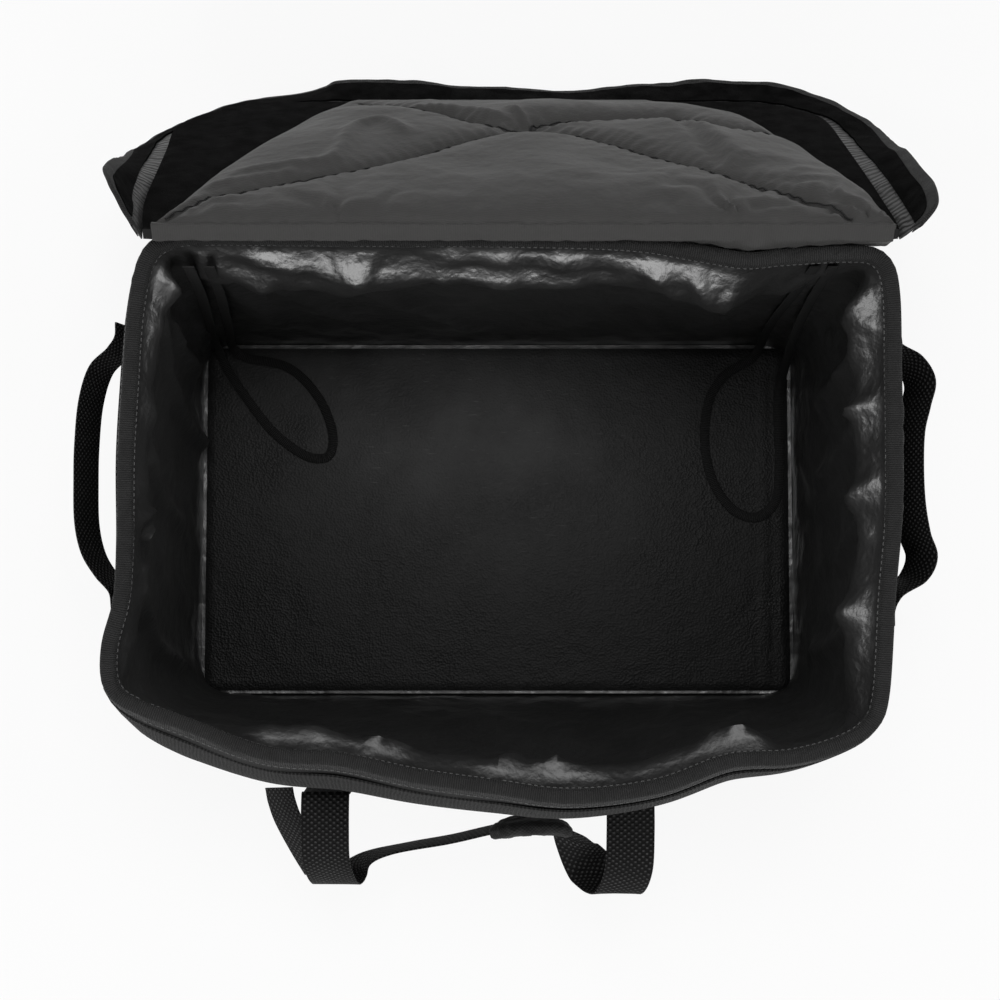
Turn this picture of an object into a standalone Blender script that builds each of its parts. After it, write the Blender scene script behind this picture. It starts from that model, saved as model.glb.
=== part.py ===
"""Soft insulated catering bag, open, with its lid hanging behind.

Metres, +Z up. The origin is the centre of the bag's flat bottom, +X is the bag's right and +Y its back.
Every wall is a stack of outer cloth, foam and liner. The lid is built where it hangs, in its own axes:
u across, v away from the hinge and w towards the lining.
"""
import math

import bmesh
import bpy
from mathutils import Matrix, Vector

# Body
BODY_WIDTH = 0.604
BODY_DEPTH = 0.366
RIM_HEIGHT = 0.361
SIDE_LEAN = 0.004
BACK_LEAN = 0.008
FRONT_BOW = 0.040
FRONT_BULGE = 0.035
FRONT_RIM_DROP = 0.004
BULGE_HEIGHT_SHARE = 0.65

# Layers of cloth and foam
OUTER_CLOTH = 0.0012
WALL_FOAM = 0.006
LINER_CLOTH = 0.0008
SEAM_GAP = 0.0003
WALL_FOOT = 0.0015
FRONT_END_GAP = 0.0017
FRONT_FLOOR_GAP = 0.0015
BOWED_GAP = 0.0007

# Base board
BOARD_CLEARANCE = 0.0044
BOARD_CORNER = 0.010
BOARD_CORE = 0.004
BOARD_COVER = 0.0009

# Rim binding, hook tape and corner piping
BINDING_CLOTH = 0.001
BINDING_LEG = 0.011
HOOK_TAPE_THICK = 0.0014
HOOK_TAPE_WIDTH = 0.038
HOOK_TAPE_DROP = 0.017
PIPING_RADIUS = 0.0018
PIPING_TOP = 0.300
PIPING_FOOT = 0.003

# Lid
LID_WIDTH = 0.6234
LID_DEPTH = 0.3797
LID_CORNER = 0.030
LID_FOAM = 0.007
LID_EDGE = 0.012
LID_CROWN = 0.018
CROWN_WIDTH = 0.560
CROWN_DEPTH = 0.306
CROWN_START = 0.020
QUILT_WIDTH = 0.010
QUILT_DEPTH = 0.006
LID_CLEARANCE = 0.0005
HINGE_CLOTH = 0.0008
HINGE_DROP = 0.025
HINGE_AXIS_SHARE = 0.75

# Skirt of the lid
SKIRT_WIDTH = 0.060
SKIRT_CLOTH = 0.0012
SKIRT_GAP = 0.0003
SKIRT_FLOOR_GAP = 0.003
SKIRT_REST_DEGREES = 40.0
SKIRT_END_RADIUS = 0.024
SKIRT_FRONT_RADIUS = 0.006
SKIRT_REAR_GAP = 0.008
SKIRT_FRONT_GAP = 0.004
LOOP_TAPE_START = 0.016
LOOP_TAPE_THICK = 0.0017
SKIRT_BINDING_LEG = 0.006
SKIRT_BINDING_START = 0.014

# Webbing
WEBBING_WIDTH = 0.040
WEBBING_THICK = 0.0016
HANDLE_CLEARANCE = 0.00015
TAB_LENGTH = 0.050
TAB_LIFT = 0.0006

# Side handles
SIDE_HANDLE_HEIGHT = 0.252
SIDE_HANDLE_LENGTH = 0.150
SIDE_HANDLE_CENTRE = 0.027
SIDE_HANDLE_REACH = 0.044
SIDE_HANDLE_ROOT = 0.012
SIDE_HANDLE_GAP = 0.0005
SIDE_TAB_LENGTH = 0.040
SIDE_TAB_RISE = 0.022
SIDE_HANDLE_POWER = 2.6

# Front carry handle
FRONT_HANDLE_HEIGHT = 0.238
FRONT_HANDLE_LEFT = -0.143
FRONT_HANDLE_RIGHT = 0.111
FRONT_HANDLE_REACH = 0.083
FRONT_HANDLE_FALL = 0.080
FRONT_RETURN_ROOT = -0.199
WRAP_THICK = 0.004
WRAP_SLOT = 0.0004

# Back carry handle
BACK_HANDLE_HEIGHT = 0.290
BACK_HANDLE_HALF = 0.120
BACK_HANDLE_REACH = 0.020
BACK_HANDLE_FALL = 0.110

# Tape loops inside
LOOP_WIDTH = 0.009
LOOP_THICK = 0.0012

# Counts that shape the meshes
FLAT_CUTS = 2
WALL_CUTS = 14
HEIGHT_CUTS = 12
HANDLE_CUTS = 20
TAB_CUTS = 8
LID_CUTS = (30, 20)
ARC_CUTS = 5
PATH_CUTS = 3
PIPING_SIDES = 8
SHARP_DEGREES = 40.0

# Worked out from the above
WALL = OUTER_CLOTH + WALL_FOAM + LINER_CLOTH + 2 * SEAM_GAP
OUTER_LAYER = (0.0, OUTER_CLOTH)
FOAM_LAYER = (OUTER_CLOTH + SEAM_GAP, OUTER_CLOTH + SEAM_GAP + WALL_FOAM)
LINER_LAYER = (WALL - LINER_CLOTH, WALL)
WALL_TOP = RIM_HEIGHT - BINDING_CLOTH - SEAM_GAP
FRONT_RIM = RIM_HEIGHT - FRONT_RIM_DROP
FRONT_TOP = FRONT_RIM - BINDING_CLOTH - BOWED_GAP
BINDING_OUT = SEAM_GAP + BINDING_CLOTH
FLOOR_LINER_TOP = WALL_FOOT + WALL_FOAM + SEAM_GAP + LINER_CLOTH
BOARD_FOOT = FLOOR_LINER_TOP + SEAM_GAP
BOARD_WIDTH = BODY_WIDTH - 2 * (WALL + BOARD_CLEARANCE)
BOARD_DEPTH = BODY_DEPTH - 2 * (WALL + BOARD_CLEARANCE)
BOARD_TOP = BOARD_FOOT + BOARD_CORE + SEAM_GAP + BOARD_COVER

HANDLE_OUT = TAB_LIFT + WEBBING_THICK + WEBBING_THICK / 2 + HANDLE_CLEARANCE

HINGE_Z = RIM_HEIGHT + LID_EDGE + LID_CLEARANCE
HINGE_FACE = BODY_DEPTH / 2 + BACK_LEAN + BINDING_OUT + SEAM_GAP
HINGE_Y = HINGE_FACE + HINGE_CLOTH * HINGE_AXIS_SHARE
LID_START = HINGE_Y - HINGE_FACE + SEAM_GAP
SKIRT_AXIS_V = LID_DEPTH + SKIRT_GAP
SKIRT_AXIS_U = LID_WIDTH / 2 + SKIRT_GAP
LID_SLOPE = math.asin((HINGE_Z - SKIRT_FLOOR_GAP) / (SKIRT_AXIS_V + SKIRT_WIDTH))
LID_V = Vector((0.0, math.cos(LID_SLOPE), -math.sin(LID_SLOPE)))
LID_W = Vector((0.0, math.sin(LID_SLOPE), math.cos(LID_SLOPE)))
HINGE = Vector((0.0, HINGE_Y, HINGE_Z))
FRONT_PIVOT = Vector((0.0, -BODY_DEPTH / 2 + WALL, WALL_FOOT))

CLOTH_BLACK = (0.020, 0.020, 0.021, 1.0)
LINER_BLACK = (0.016, 0.016, 0.017, 1.0)
QUILT_GREY = (0.045, 0.045, 0.047, 1.0)
TAPE_BLACK = (0.006, 0.006, 0.006, 1.0)
BINDING_GREY = (0.030, 0.030, 0.030, 1.0)
WEBBING_BLACK = (0.022, 0.022, 0.022, 1.0)
FOAM_WHITE = (0.700, 0.700, 0.680, 1.0)
BOARD_BLACK = (0.008, 0.008, 0.009, 1.0)


# Scene and objects

def clear_scene():
    for old in list(bpy.data.objects):
        bpy.data.objects.remove(old, do_unlink=True)


def add_pivot(name, place):
    pivot = bpy.data.objects.new(name, None)
    pivot.location = place
    bpy.context.scene.collection.objects.link(pivot)
    return pivot


def add_object(name, verts, faces, colour, roughness, pivot=None):
    """Makes one named solid with its own material, carried by a pivot where it moves."""
    mesh = bpy.data.meshes.new(name)
    mesh.from_pydata([tuple(v) for v in verts], [], faces)
    work = bmesh.new()
    work.from_mesh(mesh)
    bmesh.ops.recalc_face_normals(work, faces=work.faces)
    work.to_mesh(mesh)
    work.free()
    mesh.shade_smooth()
    mesh.set_sharp_from_angle(angle=math.radians(SHARP_DEGREES))
    material = bpy.data.materials.new(name + "_finish")
    material.use_nodes = True
    shader = material.node_tree.nodes["Principled BSDF"]
    shader.inputs["Base Color"].default_value = colour
    shader.inputs["Roughness"].default_value = roughness
    shader.inputs["Metallic"].default_value = 0.0
    mesh.materials.append(material)
    thing = bpy.data.objects.new(name, mesh)
    bpy.context.scene.collection.objects.link(thing)
    if pivot is not None:
        thing.parent = pivot
        thing.matrix_parent_inverse = Matrix.Translation(-pivot.location)
    return thing


# Shapes

def steps(low, high, count):
    return [low + (high - low) * i / count for i in range(count + 1)]


def slab(name, near, far, colour, roughness, pivot=None):
    """Closes two grids of points, rows by columns, into one solid, with the same diagonals in both."""
    rows, cols = len(near), len(near[0])
    verts = [p for row in near for p in row] + [p for row in far for p in row]
    half = rows * cols

    def at(side, row, col):
        return side * half + row * cols + col

    faces = []
    for row in range(rows - 1):
        for col in range(cols - 1):
            corner, beside, across, above = (row, col), (row, col + 1), (row + 1, col + 1), (row + 1, col)
            for three in ((corner, beside, across), (corner, across, above)):
                faces.append([at(0, *spot) for spot in three])
                faces.append([at(1, *spot) for spot in reversed(three)])
    edge = [(0, col) for col in range(cols)] + [(row, cols - 1) for row in range(1, rows)]
    edge += [(rows - 1, col) for col in range(cols - 2, -1, -1)] + [(row, 0) for row in range(rows - 2, 0, -1)]
    for here, there in zip(edge, edge[1:] + edge[:1]):
        faces.append([at(0, *there), at(0, *here), at(1, *here), at(1, *there)])
    return add_object(name, verts, faces, colour, roughness, pivot)


def sweep(name, rings, colour, roughness, pivot=None):
    """Joins equal rings of points into one solid with a flat face at each end."""
    count = len(rings[0])
    verts = [p for ring in rings for p in ring]
    faces = [list(range(count)), list(range(len(verts) - 1, len(verts) - count - 1, -1))]
    for step in range(len(rings) - 1):
        base = step * count
        for i in range(count):
            j = (i + 1) % count
            faces.append([base + i, base + j, base + count + j, base + count + i])
    return add_object(name, verts, faces, colour, roughness, pivot)


def sleeve(name, outer, inner, colour, roughness, pivot=None):
    """A tube with a bore: rings of an outer and an inner outline, open at both ends."""
    count = len(outer[0])
    verts = [p for ring in outer for p in ring] + [p for ring in inner for p in ring]
    half = len(outer) * count
    faces = []
    for step in range(len(outer) - 1):
        for i in range(count):
            j = (i + 1) % count
            a, b = step * count, (step + 1) * count
            faces.append([a + i, a + j, b + j, b + i])
            faces.append([half + a + j, half + a + i, half + b + i, half + b + j])
    for base in (0, (len(outer) - 1) * count):
        for i in range(count):
            j = (i + 1) % count
            faces.append([base + i, base + j, half + base + j, half + base + i])
    return add_object(name, verts, faces, colour, roughness, pivot)


def rounded_outline(low, high, radii):
    """Corners of a rectangle, anticlockwise from the low corner, each rounded by its own radius."""
    corners = [(low[0], low[1], 180), (high[0], low[1], 270), (high[0], high[1], 0), (low[0], high[1], 90)]
    points = []
    for (x, y, start), radius in zip(corners, radii):
        if radius == 0:
            points.append((x, y))
            continue
        cx = x + radius if x == low[0] else x - radius
        cy = y + radius if y == low[1] else y - radius
        for turn in steps(math.radians(start), math.radians(start + 90), ARC_CUTS):
            points.append((cx + radius * math.cos(turn), cy + radius * math.sin(turn)))
    return points


def plate(name, outline, place, low, high, colour, roughness, pivot=None):
    """Extrudes a flat outline between two levels; place turns its coordinates into the world."""
    rings = [[place(a, b, level) for a, b in outline] for level in (low, high)]
    return sweep(name, rings, colour, roughness, pivot)


def smooth_path(points, cuts):
    """Points on a Catmull-Rom curve through the given ones."""
    path = []
    last = len(points) - 1
    for i in range(last):
        before, here = points[max(i - 1, 0)], points[i]
        there, after = points[i + 1], points[min(i + 2, last)]
        for step in range(cuts):
            t = step / cuts
            path.append(0.5 * (2 * here + (there - before) * t
                               + (2 * before - 5 * here + 4 * there - after) * t * t
                               + (3 * here - before - 3 * there + after) * t ** 3))
    return path + [points[last]]


def ribbon_rings(path, across, width, thick):
    """Flat cross-sections along a path; across gives the direction of the width at each point."""
    rings = []
    last = len(path) - 1
    for i, point in enumerate(path):
        along = (path[min(i + 1, last)] - path[max(i - 1, 0)]).normalized()
        side = (across[i] - along * across[i].dot(along)).normalized()
        out = along.cross(side)
        rings.append([point + side * (a * width / 2) + out * (b * thick / 2)
                      for a, b in ((-1, -1), (1, -1), (1, 1), (-1, 1))])
    return rings


# Walls

def side_point(sign):
    def point(along, z, inset):
        return Vector((sign * (BODY_WIDTH / 2 + SIDE_LEAN * z / RIM_HEIGHT - inset), along, z))
    return point


def back_point(along, z, inset):
    return Vector((along, BODY_DEPTH / 2 + BACK_LEAN * z / RIM_HEIGHT - inset, z))


def front_half(z):
    """Half the front wall's width, which fits between the side walls' liners and bindings."""
    return BODY_WIDTH / 2 + SIDE_LEAN * z / RIM_HEIGHT - WALL - FRONT_END_GAP


def front_point(along, z, inset):
    """The front wall bows out towards its middle, most below the rim."""
    spread = 1 - (along / front_half(z)) ** 2
    height_share = min(z / FRONT_RIM, 1.0)
    power = math.log(0.5) / math.log(BULGE_HEIGHT_SHARE)
    bulge = FRONT_BULGE * math.sin(math.pi * height_share ** power)
    bow = spread * (FRONT_BOW * height_share + bulge)
    return Vector((along, -BODY_DEPTH / 2 - bow + inset, z))


def full_width(z):
    half = BODY_WIDTH / 2 + SIDE_LEAN * z / RIM_HEIGHT
    return -half, half


def full_depth(z):
    return -BODY_DEPTH / 2, BODY_DEPTH / 2 + BACK_LEAN * z / RIM_HEIGHT - WALL - BINDING_OUT - SEAM_GAP


def front_width(z):
    return -front_half(z), front_half(z)


def front_heights():
    """Heights at which the bowed front wall is cut, shared with what is sewn on it."""
    high = FRONT_RIM - HOOK_TAPE_DROP
    sewn = [high - HOOK_TAPE_WIDTH, high, FRONT_HANDLE_HEIGHT - TAB_LENGTH, FRONT_HANDLE_HEIGHT]
    return sorted(steps(WALL_FOOT, FRONT_TOP, HEIGHT_CUTS) + sewn)


def wall_layer(name, point, span, heights, layer, cuts, colour, roughness, pivot=None):
    grids = []
    for inset in layer:
        grids.append([[point(a, z, inset) for a in steps(*span(z), cuts)] for z in heights])
    return slab(name, grids[0], grids[1], colour, roughness, pivot)


def wall(label, point, span, heights, cuts, pivot=None):
    wall_layer("outer_" + label, point, span, heights, OUTER_LAYER, cuts, CLOTH_BLACK, 0.75, pivot)
    wall_layer("foam_" + label, point, span, heights, FOAM_LAYER, cuts, FOAM_WHITE, 0.9, pivot)
    wall_layer("liner_" + label, point, span, heights, LINER_LAYER, cuts, LINER_BLACK, 0.3, pivot)


def rim_binding(label, point, ends, top, cuts, gap, pivot=None):
    """A folded tape over the wall's top edge."""
    low, out = top - BINDING_LEG, gap + BINDING_CLOTH
    profile = [(-out, low), (-out, top), (WALL + out, top), (WALL + out, low),
               (WALL + gap, low), (WALL + gap, top - BINDING_CLOTH),
               (-gap, top - BINDING_CLOTH), (-gap, low)]
    rings = [[point(a, z, inset) for inset, z in profile] for a in steps(*ends, cuts)]
    sweep("rim_binding_" + label, rings, BINDING_GREY, 0.8, pivot)


def hook_tape(label, point, span, top, heights, cuts, pivot=None):
    high = top - HOOK_TAPE_DROP
    low = high - HOOK_TAPE_WIDTH
    inside = [low] + [z for z in heights if low < z < high] + [high]
    layer = (-SEAM_GAP - HOOK_TAPE_THICK, -SEAM_GAP)
    wall_layer("hook_tape_" + label, point, span, inside, layer, cuts, TAPE_BLACK, 0.9, pivot)


def build_walls(front_pivot):
    heights = steps(WALL_FOOT, WALL_TOP, FLAT_CUTS)
    side_span = full_depth(RIM_HEIGHT)
    for label, sign in (("left", -1), ("right", 1)):
        point = side_point(sign)
        wall(label, point, full_depth, heights, FLAT_CUTS)
        rim_binding(label, point, side_span, RIM_HEIGHT, FLAT_CUTS, SEAM_GAP)
        hook_tape(label, point, lambda z: side_span, RIM_HEIGHT, heights, FLAT_CUTS)
    wall("back", back_point, full_width, heights, FLAT_CUTS)
    rim_binding("back", back_point, full_width(WALL_TOP), RIM_HEIGHT, FLAT_CUTS, SEAM_GAP)
    heights = front_heights()
    wall("front", front_point, front_width, heights, WALL_CUTS, front_pivot)
    ends = front_width(FRONT_TOP - BINDING_LEG)
    rim_binding("front", front_point, ends, FRONT_RIM, WALL_CUTS, BOWED_GAP, front_pivot)
    hook_tape("front", front_point, front_width, FRONT_RIM, heights, WALL_CUTS, front_pivot)


def build_piping():
    """A cord in each upright corner seam, just outside the corner."""
    out = (PIPING_RADIUS + SEAM_GAP) * math.sqrt(0.5)
    for label, sign, back in (("front_left", -1, False), ("front_right", 1, False),
                              ("back_left", -1, True), ("back_right", 1, True)):
        rings = []
        for z in steps(PIPING_FOOT, PIPING_TOP, 2):
            x = sign * (full_width(z)[1] + out)
            y = back_point(0.0, z, 0.0).y + out if back else -BODY_DEPTH / 2 - out
            rings.append([Vector((x + PIPING_RADIUS * math.cos(turn), y + PIPING_RADIUS * math.sin(turn), z))
                          for turn in steps(0.0, math.tau, PIPING_SIDES)[:-1]])
        sweep("corner_piping_" + label, rings, BINDING_GREY, 0.8)


def flat(x, y, z):
    return Vector((x, y, z))


def build_bottom():
    half_x, half_y = BODY_WIDTH / 2, BODY_DEPTH / 2
    corners = rounded_outline((-half_x, -half_y), (half_x, half_y), (0, 0, 0, 0))
    plate("outer_bottom", corners, flat, 0.0, OUTER_CLOTH, CLOTH_BLACK, 0.75)
    low = (-half_x + WALL + SEAM_GAP, -half_y + WALL + FRONT_FLOOR_GAP)
    high = (half_x - WALL - SEAM_GAP, half_y - WALL - SEAM_GAP)
    inner = rounded_outline(low, high, (0, 0, 0, 0))
    plate("foam_bottom", inner, flat, WALL_FOOT, WALL_FOOT + WALL_FOAM, FOAM_WHITE, 0.9)
    plate("liner_bottom", inner, flat, FLOOR_LINER_TOP - LINER_CLOTH, FLOOR_LINER_TOP, LINER_BLACK, 0.3)


def board_outline(shrink):
    half_x, half_y = BOARD_WIDTH / 2 - shrink, BOARD_DEPTH / 2 - shrink
    radius = BOARD_CORNER - shrink
    return rounded_outline((-half_x, -half_y), (half_x, half_y), (radius,) * 4)


def build_board():
    """A stiff core under a vinyl cover that is open below."""
    clear = BOARD_COVER + SEAM_GAP
    plate("base_board_core", board_outline(clear), flat, BOARD_FOOT, BOARD_FOOT + BOARD_CORE, FOAM_WHITE, 0.9)
    outer, inner = board_outline(0.0), board_outline(BOARD_COVER)
    rings = [[flat(x, y, BOARD_FOOT) for x, y in inner],
             [flat(x, y, BOARD_TOP - BOARD_COVER) for x, y in inner],
             [flat(x, y, BOARD_FOOT) for x, y in outer],
             [flat(x, y, BOARD_TOP) for x, y in outer]]
    count = len(outer)
    verts = [p for ring in rings for p in ring]
    faces = [[count + i for i in range(count)], [3 * count + i for i in range(count)]]
    for i in range(count):
        j = (i + 1) % count
        for low, high in ((0, 1), (2, 3), (0, 2)):
            faces.append([low * count + i, low * count + j, high * count + j, high * count + i])
    add_object("base_board_cover", verts, faces, BOARD_BLACK, 0.45)


# Lid

def lid_point(u, v, w):
    return HINGE + Vector((u, 0.0, 0.0)) + LID_V * v + LID_W * w


def lid_outline():
    return rounded_outline((-LID_WIDTH / 2, LID_START), (LID_WIDTH / 2, LID_DEPTH), (0, 0, LID_CORNER, LID_CORNER))


def round_corner(u, v):
    """Moves a point of the lid's rectangle so that the two far corners become round."""
    centre_u, centre_v = LID_WIDTH / 2 - LID_CORNER, LID_DEPTH - LID_CORNER
    du, dv = (abs(u) - centre_u) / LID_CORNER, (v - centre_v) / LID_CORNER
    if du <= 0 or dv <= 0:
        return u, v
    pull = max(du, dv) / math.hypot(du, dv)
    return math.copysign(centre_u + du * pull * LID_CORNER, u), centre_v + dv * pull * LID_CORNER


def lining_height(u, v):
    """The quilted pad: a crown with an X of sewn channels across it."""
    middle = CROWN_START + CROWN_DEPTH / 2
    across, deep = u / (CROWN_WIDTH / 2), (v - middle) / (CROWN_DEPTH / 2)
    if abs(across) >= 1 or abs(deep) >= 1:
        return LID_EDGE
    crown = LID_CROWN * (1 - across ** 2) * (1 - deep ** 2)
    length = math.hypot(CROWN_WIDTH, CROWN_DEPTH)
    from_seam = abs(abs(u) * CROWN_DEPTH - abs(v - middle) * CROWN_WIDTH) / length
    channel = QUILT_DEPTH * math.exp(-(from_seam / QUILT_WIDTH) ** 2)
    return LID_EDGE + max(crown - channel * crown / LID_CROWN, 0.0)


def build_lid(pivot):
    plate("lid_outer", lid_outline(), lid_point, 0.0, OUTER_CLOTH, CLOTH_BLACK, 0.75, pivot)
    foam_low = OUTER_CLOTH + SEAM_GAP
    plate("lid_foam", lid_outline(), lid_point, foam_low, foam_low + LID_FOAM, FOAM_WHITE, 0.9, pivot)
    under = foam_low + LID_FOAM + SEAM_GAP
    near, far = [], []
    for v in steps(LID_START, LID_DEPTH, LID_CUTS[1]):
        spots = [round_corner(u, v) for u in steps(-LID_WIDTH / 2, LID_WIDTH / 2, LID_CUTS[0])]
        near.append([lid_point(a, b, lining_height(a, b)) for a, b in spots])
        far.append([lid_point(a, b, under) for a, b in spots])
    slab("lid_lining", near, far, QUILT_GREY, 0.7, pivot)


def build_hinge_strip():
    half = LID_WIDTH / 2
    outline = [(-half, RIM_HEIGHT - HINGE_DROP), (half, RIM_HEIGHT - HINGE_DROP),
               (half, HINGE_Z - SEAM_GAP), (-half, HINGE_Z - SEAM_GAP)]
    plate("hinge_strip", outline, lambda x, z, y: Vector((x, y, z)),
          HINGE_FACE, HINGE_FACE + HINGE_CLOTH, CLOTH_BLACK, 0.75)


# Skirt of the lid

def skirt_frame(label):
    """Origin on the fold, in the skirt's inner face, and the directions along it, outwards and inwards."""
    if label == "front":
        return lid_point(0.0, SKIRT_AXIS_V, SKIRT_CLOTH), Vector((1.0, 0.0, 0.0)), LID_V, LID_W
    sign = -1.0 if label == "left" else 1.0
    fold = math.radians(SKIRT_REST_DEGREES)
    side = Vector((sign, 0.0, 0.0))
    out = side * math.cos(fold) + LID_W * math.sin(fold)
    inner = LID_W * math.cos(fold) - side * math.sin(fold)
    return lid_point(sign * SKIRT_AXIS_U, 0.0, SKIRT_CLOTH), LID_V, out, inner


def skirt_limits(label):
    """Where a skirt runs along its fold, and the radius of its free corner at each end."""
    if label == "front":
        half = LID_WIDTH / 2 - SKIRT_GAP
        return -half, half, SKIRT_FRONT_RADIUS, SKIRT_FRONT_RADIUS
    return SKIRT_REAR_GAP, LID_DEPTH - SKIRT_FRONT_GAP, SKIRT_END_RADIUS, SKIRT_FRONT_RADIUS


def build_skirt(label, pivot):
    origin, along, out, inner = skirt_frame(label)
    low, high, low_radius, high_radius = skirt_limits(label)

    def place(length, reach, level):
        return origin + along * length + out * reach + inner * level

    edge = SKIRT_WIDTH - BINDING_OUT
    trim = BINDING_OUT
    outline = rounded_outline((low + trim, 0.0), (high - trim, edge), (0, 0, high_radius, low_radius))
    plate("skirt_" + label, outline, place, -SKIRT_CLOTH, 0.0, CLOTH_BLACK, 0.75, pivot)

    margin = SKIRT_BINDING_LEG + SEAM_GAP
    tape_low = (low + trim + margin, LOOP_TAPE_START)
    tape_high = (high - trim - margin, edge - margin)
    tape = rounded_outline(tape_low, tape_high, (0, 0, 0, max(low_radius - margin, 0.0)))
    plate("loop_tape_" + label, tape, place, SEAM_GAP, SEAM_GAP + LOOP_TAPE_THICK, TAPE_BLACK, 0.95, pivot)
    skirt_binding(label, outline, place, pivot)


def skirt_binding(label, outline, place, pivot):
    """A folded tape round the free edge and both ends of a skirt, clear of the lid's own edge."""
    edge = [Vector(p) for p in outline[1:] + outline[:1]]
    edge[0].y = edge[-1].y = SKIRT_BINDING_START
    levels = (-SKIRT_CLOTH - BINDING_OUT, BINDING_OUT)
    slot = (-SKIRT_CLOTH - SEAM_GAP, SEAM_GAP)
    rings = []
    last = len(edge) - 1
    for i, here in enumerate(edge):
        before = (here - edge[i - 1]).normalized() if i > 0 else (edge[1] - here).normalized()
        after = (edge[i + 1] - here).normalized() if i < last else before
        along = (before + after).normalized()
        out = Vector((along.y, -along.x))
        stretch = 1 / out.dot(Vector((before.y, -before.x)))
        profile = [(-SKIRT_BINDING_LEG, levels[0]), (BINDING_OUT, levels[0]), (BINDING_OUT, levels[1]),
                   (-SKIRT_BINDING_LEG, levels[1]), (-SKIRT_BINDING_LEG, slot[1]), (SEAM_GAP, slot[1]),
                   (SEAM_GAP, slot[0]), (-SKIRT_BINDING_LEG, slot[0])]
        rings.append([place(*(here + out * (a * stretch)), level) for a, level in profile])
    sweep("skirt_binding_" + label, rings, BINDING_GREY, 0.8, pivot)


# Handles

def wall_tab(name, point, centre, top, heights, pivot=None):
    """A short length of webbing sewn flat on a wall."""
    def span(z):
        return centre - WEBBING_WIDTH / 2, centre + WEBBING_WIDTH / 2

    inside = [z for z in heights if top - TAB_LENGTH < z < top]
    layer = (-TAB_LIFT - WEBBING_THICK, -TAB_LIFT)
    wall_layer(name, point, span, [top - TAB_LENGTH] + inside + [top], layer, FLAT_CUTS,
               WEBBING_BLACK, 0.8, pivot)


def side_handle_rise(y):
    """How far the side handle stands off its wall at a place along it."""
    half = SIDE_HANDLE_LENGTH / 2
    share = min(abs(y - SIDE_HANDLE_CENTRE) / half, 1.0)
    return SIDE_HANDLE_ROOT + (SIDE_HANDLE_REACH - SIDE_HANDLE_ROOT) * (1 - share ** SIDE_HANDLE_POWER)


def side_tab_rise(y):
    """The sewn end lies on the wall and bends out to meet the loop."""
    half = SIDE_HANDLE_LENGTH / 2
    beyond = abs(y - SIDE_HANDLE_CENTRE) - half - SIDE_HANDLE_GAP
    share = max(1 - beyond / SIDE_TAB_RISE, 0.0)
    return SEAM_GAP + (SIDE_HANDLE_ROOT - SEAM_GAP) * share ** 2


def upright_band(name, sign, places, rise, pivot=None):
    """Webbing standing on edge beside a side wall."""
    low, high = SIDE_HANDLE_HEIGHT - WEBBING_WIDTH / 2, SIDE_HANDLE_HEIGHT + WEBBING_WIDTH / 2
    wall_x = full_width(SIDE_HANDLE_HEIGHT)[1]
    lean = full_width(high)[1] - wall_x
    near = [[Vector((sign * (wall_x + lean + rise(y)), y, z)) for y in places] for z in (low, high)]
    far = [[p + Vector((sign * WEBBING_THICK, 0.0, 0.0)) for p in row] for row in near]
    slab(name, near, far, WEBBING_BLACK, 0.8, pivot)


def side_pivot_place(sign):
    high = SIDE_HANDLE_HEIGHT + WEBBING_WIDTH / 2
    x = full_width(high)[1] + SIDE_HANDLE_ROOT + WEBBING_THICK / 2
    return Vector((sign * x, SIDE_HANDLE_CENTRE, SIDE_HANDLE_HEIGHT))


def build_side_handles():
    half = SIDE_HANDLE_LENGTH / 2
    for label, sign in (("left", -1), ("right", 1)):
        pivot = add_pivot("side_handle_axis_" + label, side_pivot_place(sign))
        places = steps(SIDE_HANDLE_CENTRE - half, SIDE_HANDLE_CENTRE + half, HANDLE_CUTS)
        upright_band("side_handle_" + label, sign, places, side_handle_rise, pivot)
        for end, way in (("front", -1), ("back", 1)):
            start = SIDE_HANDLE_CENTRE + way * (half + SIDE_HANDLE_GAP)
            places = steps(start, start + way * SIDE_TAB_LENGTH, TAB_CUTS)
            upright_band("side_handle_tab_" + label + "_" + end, sign, places, side_tab_rise)


# Places along the front handle: shares of its reach from the wall and of its fall, and the share by
# which the webbing is turned on edge
FRONT_STRAP_SHARES = (
    (0.00, 0.00, 0.0), (0.33, -0.02, 0.0), (0.66, 0.10, 0.0), (0.90, 0.40, 0.0), (1.00, 0.72, 0.05),
    (0.95, 0.97, 0.35), (0.80, 1.06, 0.75), (0.68, 0.98, 1.0), (0.55, 0.74, 1.0), (0.40, 0.45, 1.0),
    (0.34, 0.30, 1.0), (0.34, 0.30, 1.0), (0.42, 0.46, 0.7), (0.60, 0.66, 0.25), (0.84, 0.74, 0.0),
    (1.00, 0.55, 0.0), (1.00, 0.28, 0.0), (0.74, 0.04, 0.0), (0.36, -0.02, 0.0), (0.00, 0.00, 0.0))
FRONT_STRAP_X_SHARES = (
    0.00, 0.00, 0.00, 0.01, 0.02, 0.05, 0.115, 0.23, 0.40, 0.56,
    0.66, 0.745, 0.805, 0.835, 0.88, 0.93, 0.97, 0.995, 1.00, 1.00)
WRAP_FIRST, WRAP_LAST = 10, 11

# The inner layer of the left end: shares of the way from the wall out to the strap's edge, of the
# handle's fall, and of the way across
RETURN_SHARES = ((0.00, 0.45, 0.0), (0.30, 0.45, 0.2), (0.66, 0.58, 0.58), (1.00, 0.72, 1.0))
RETURN_MEETS = 4


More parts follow.
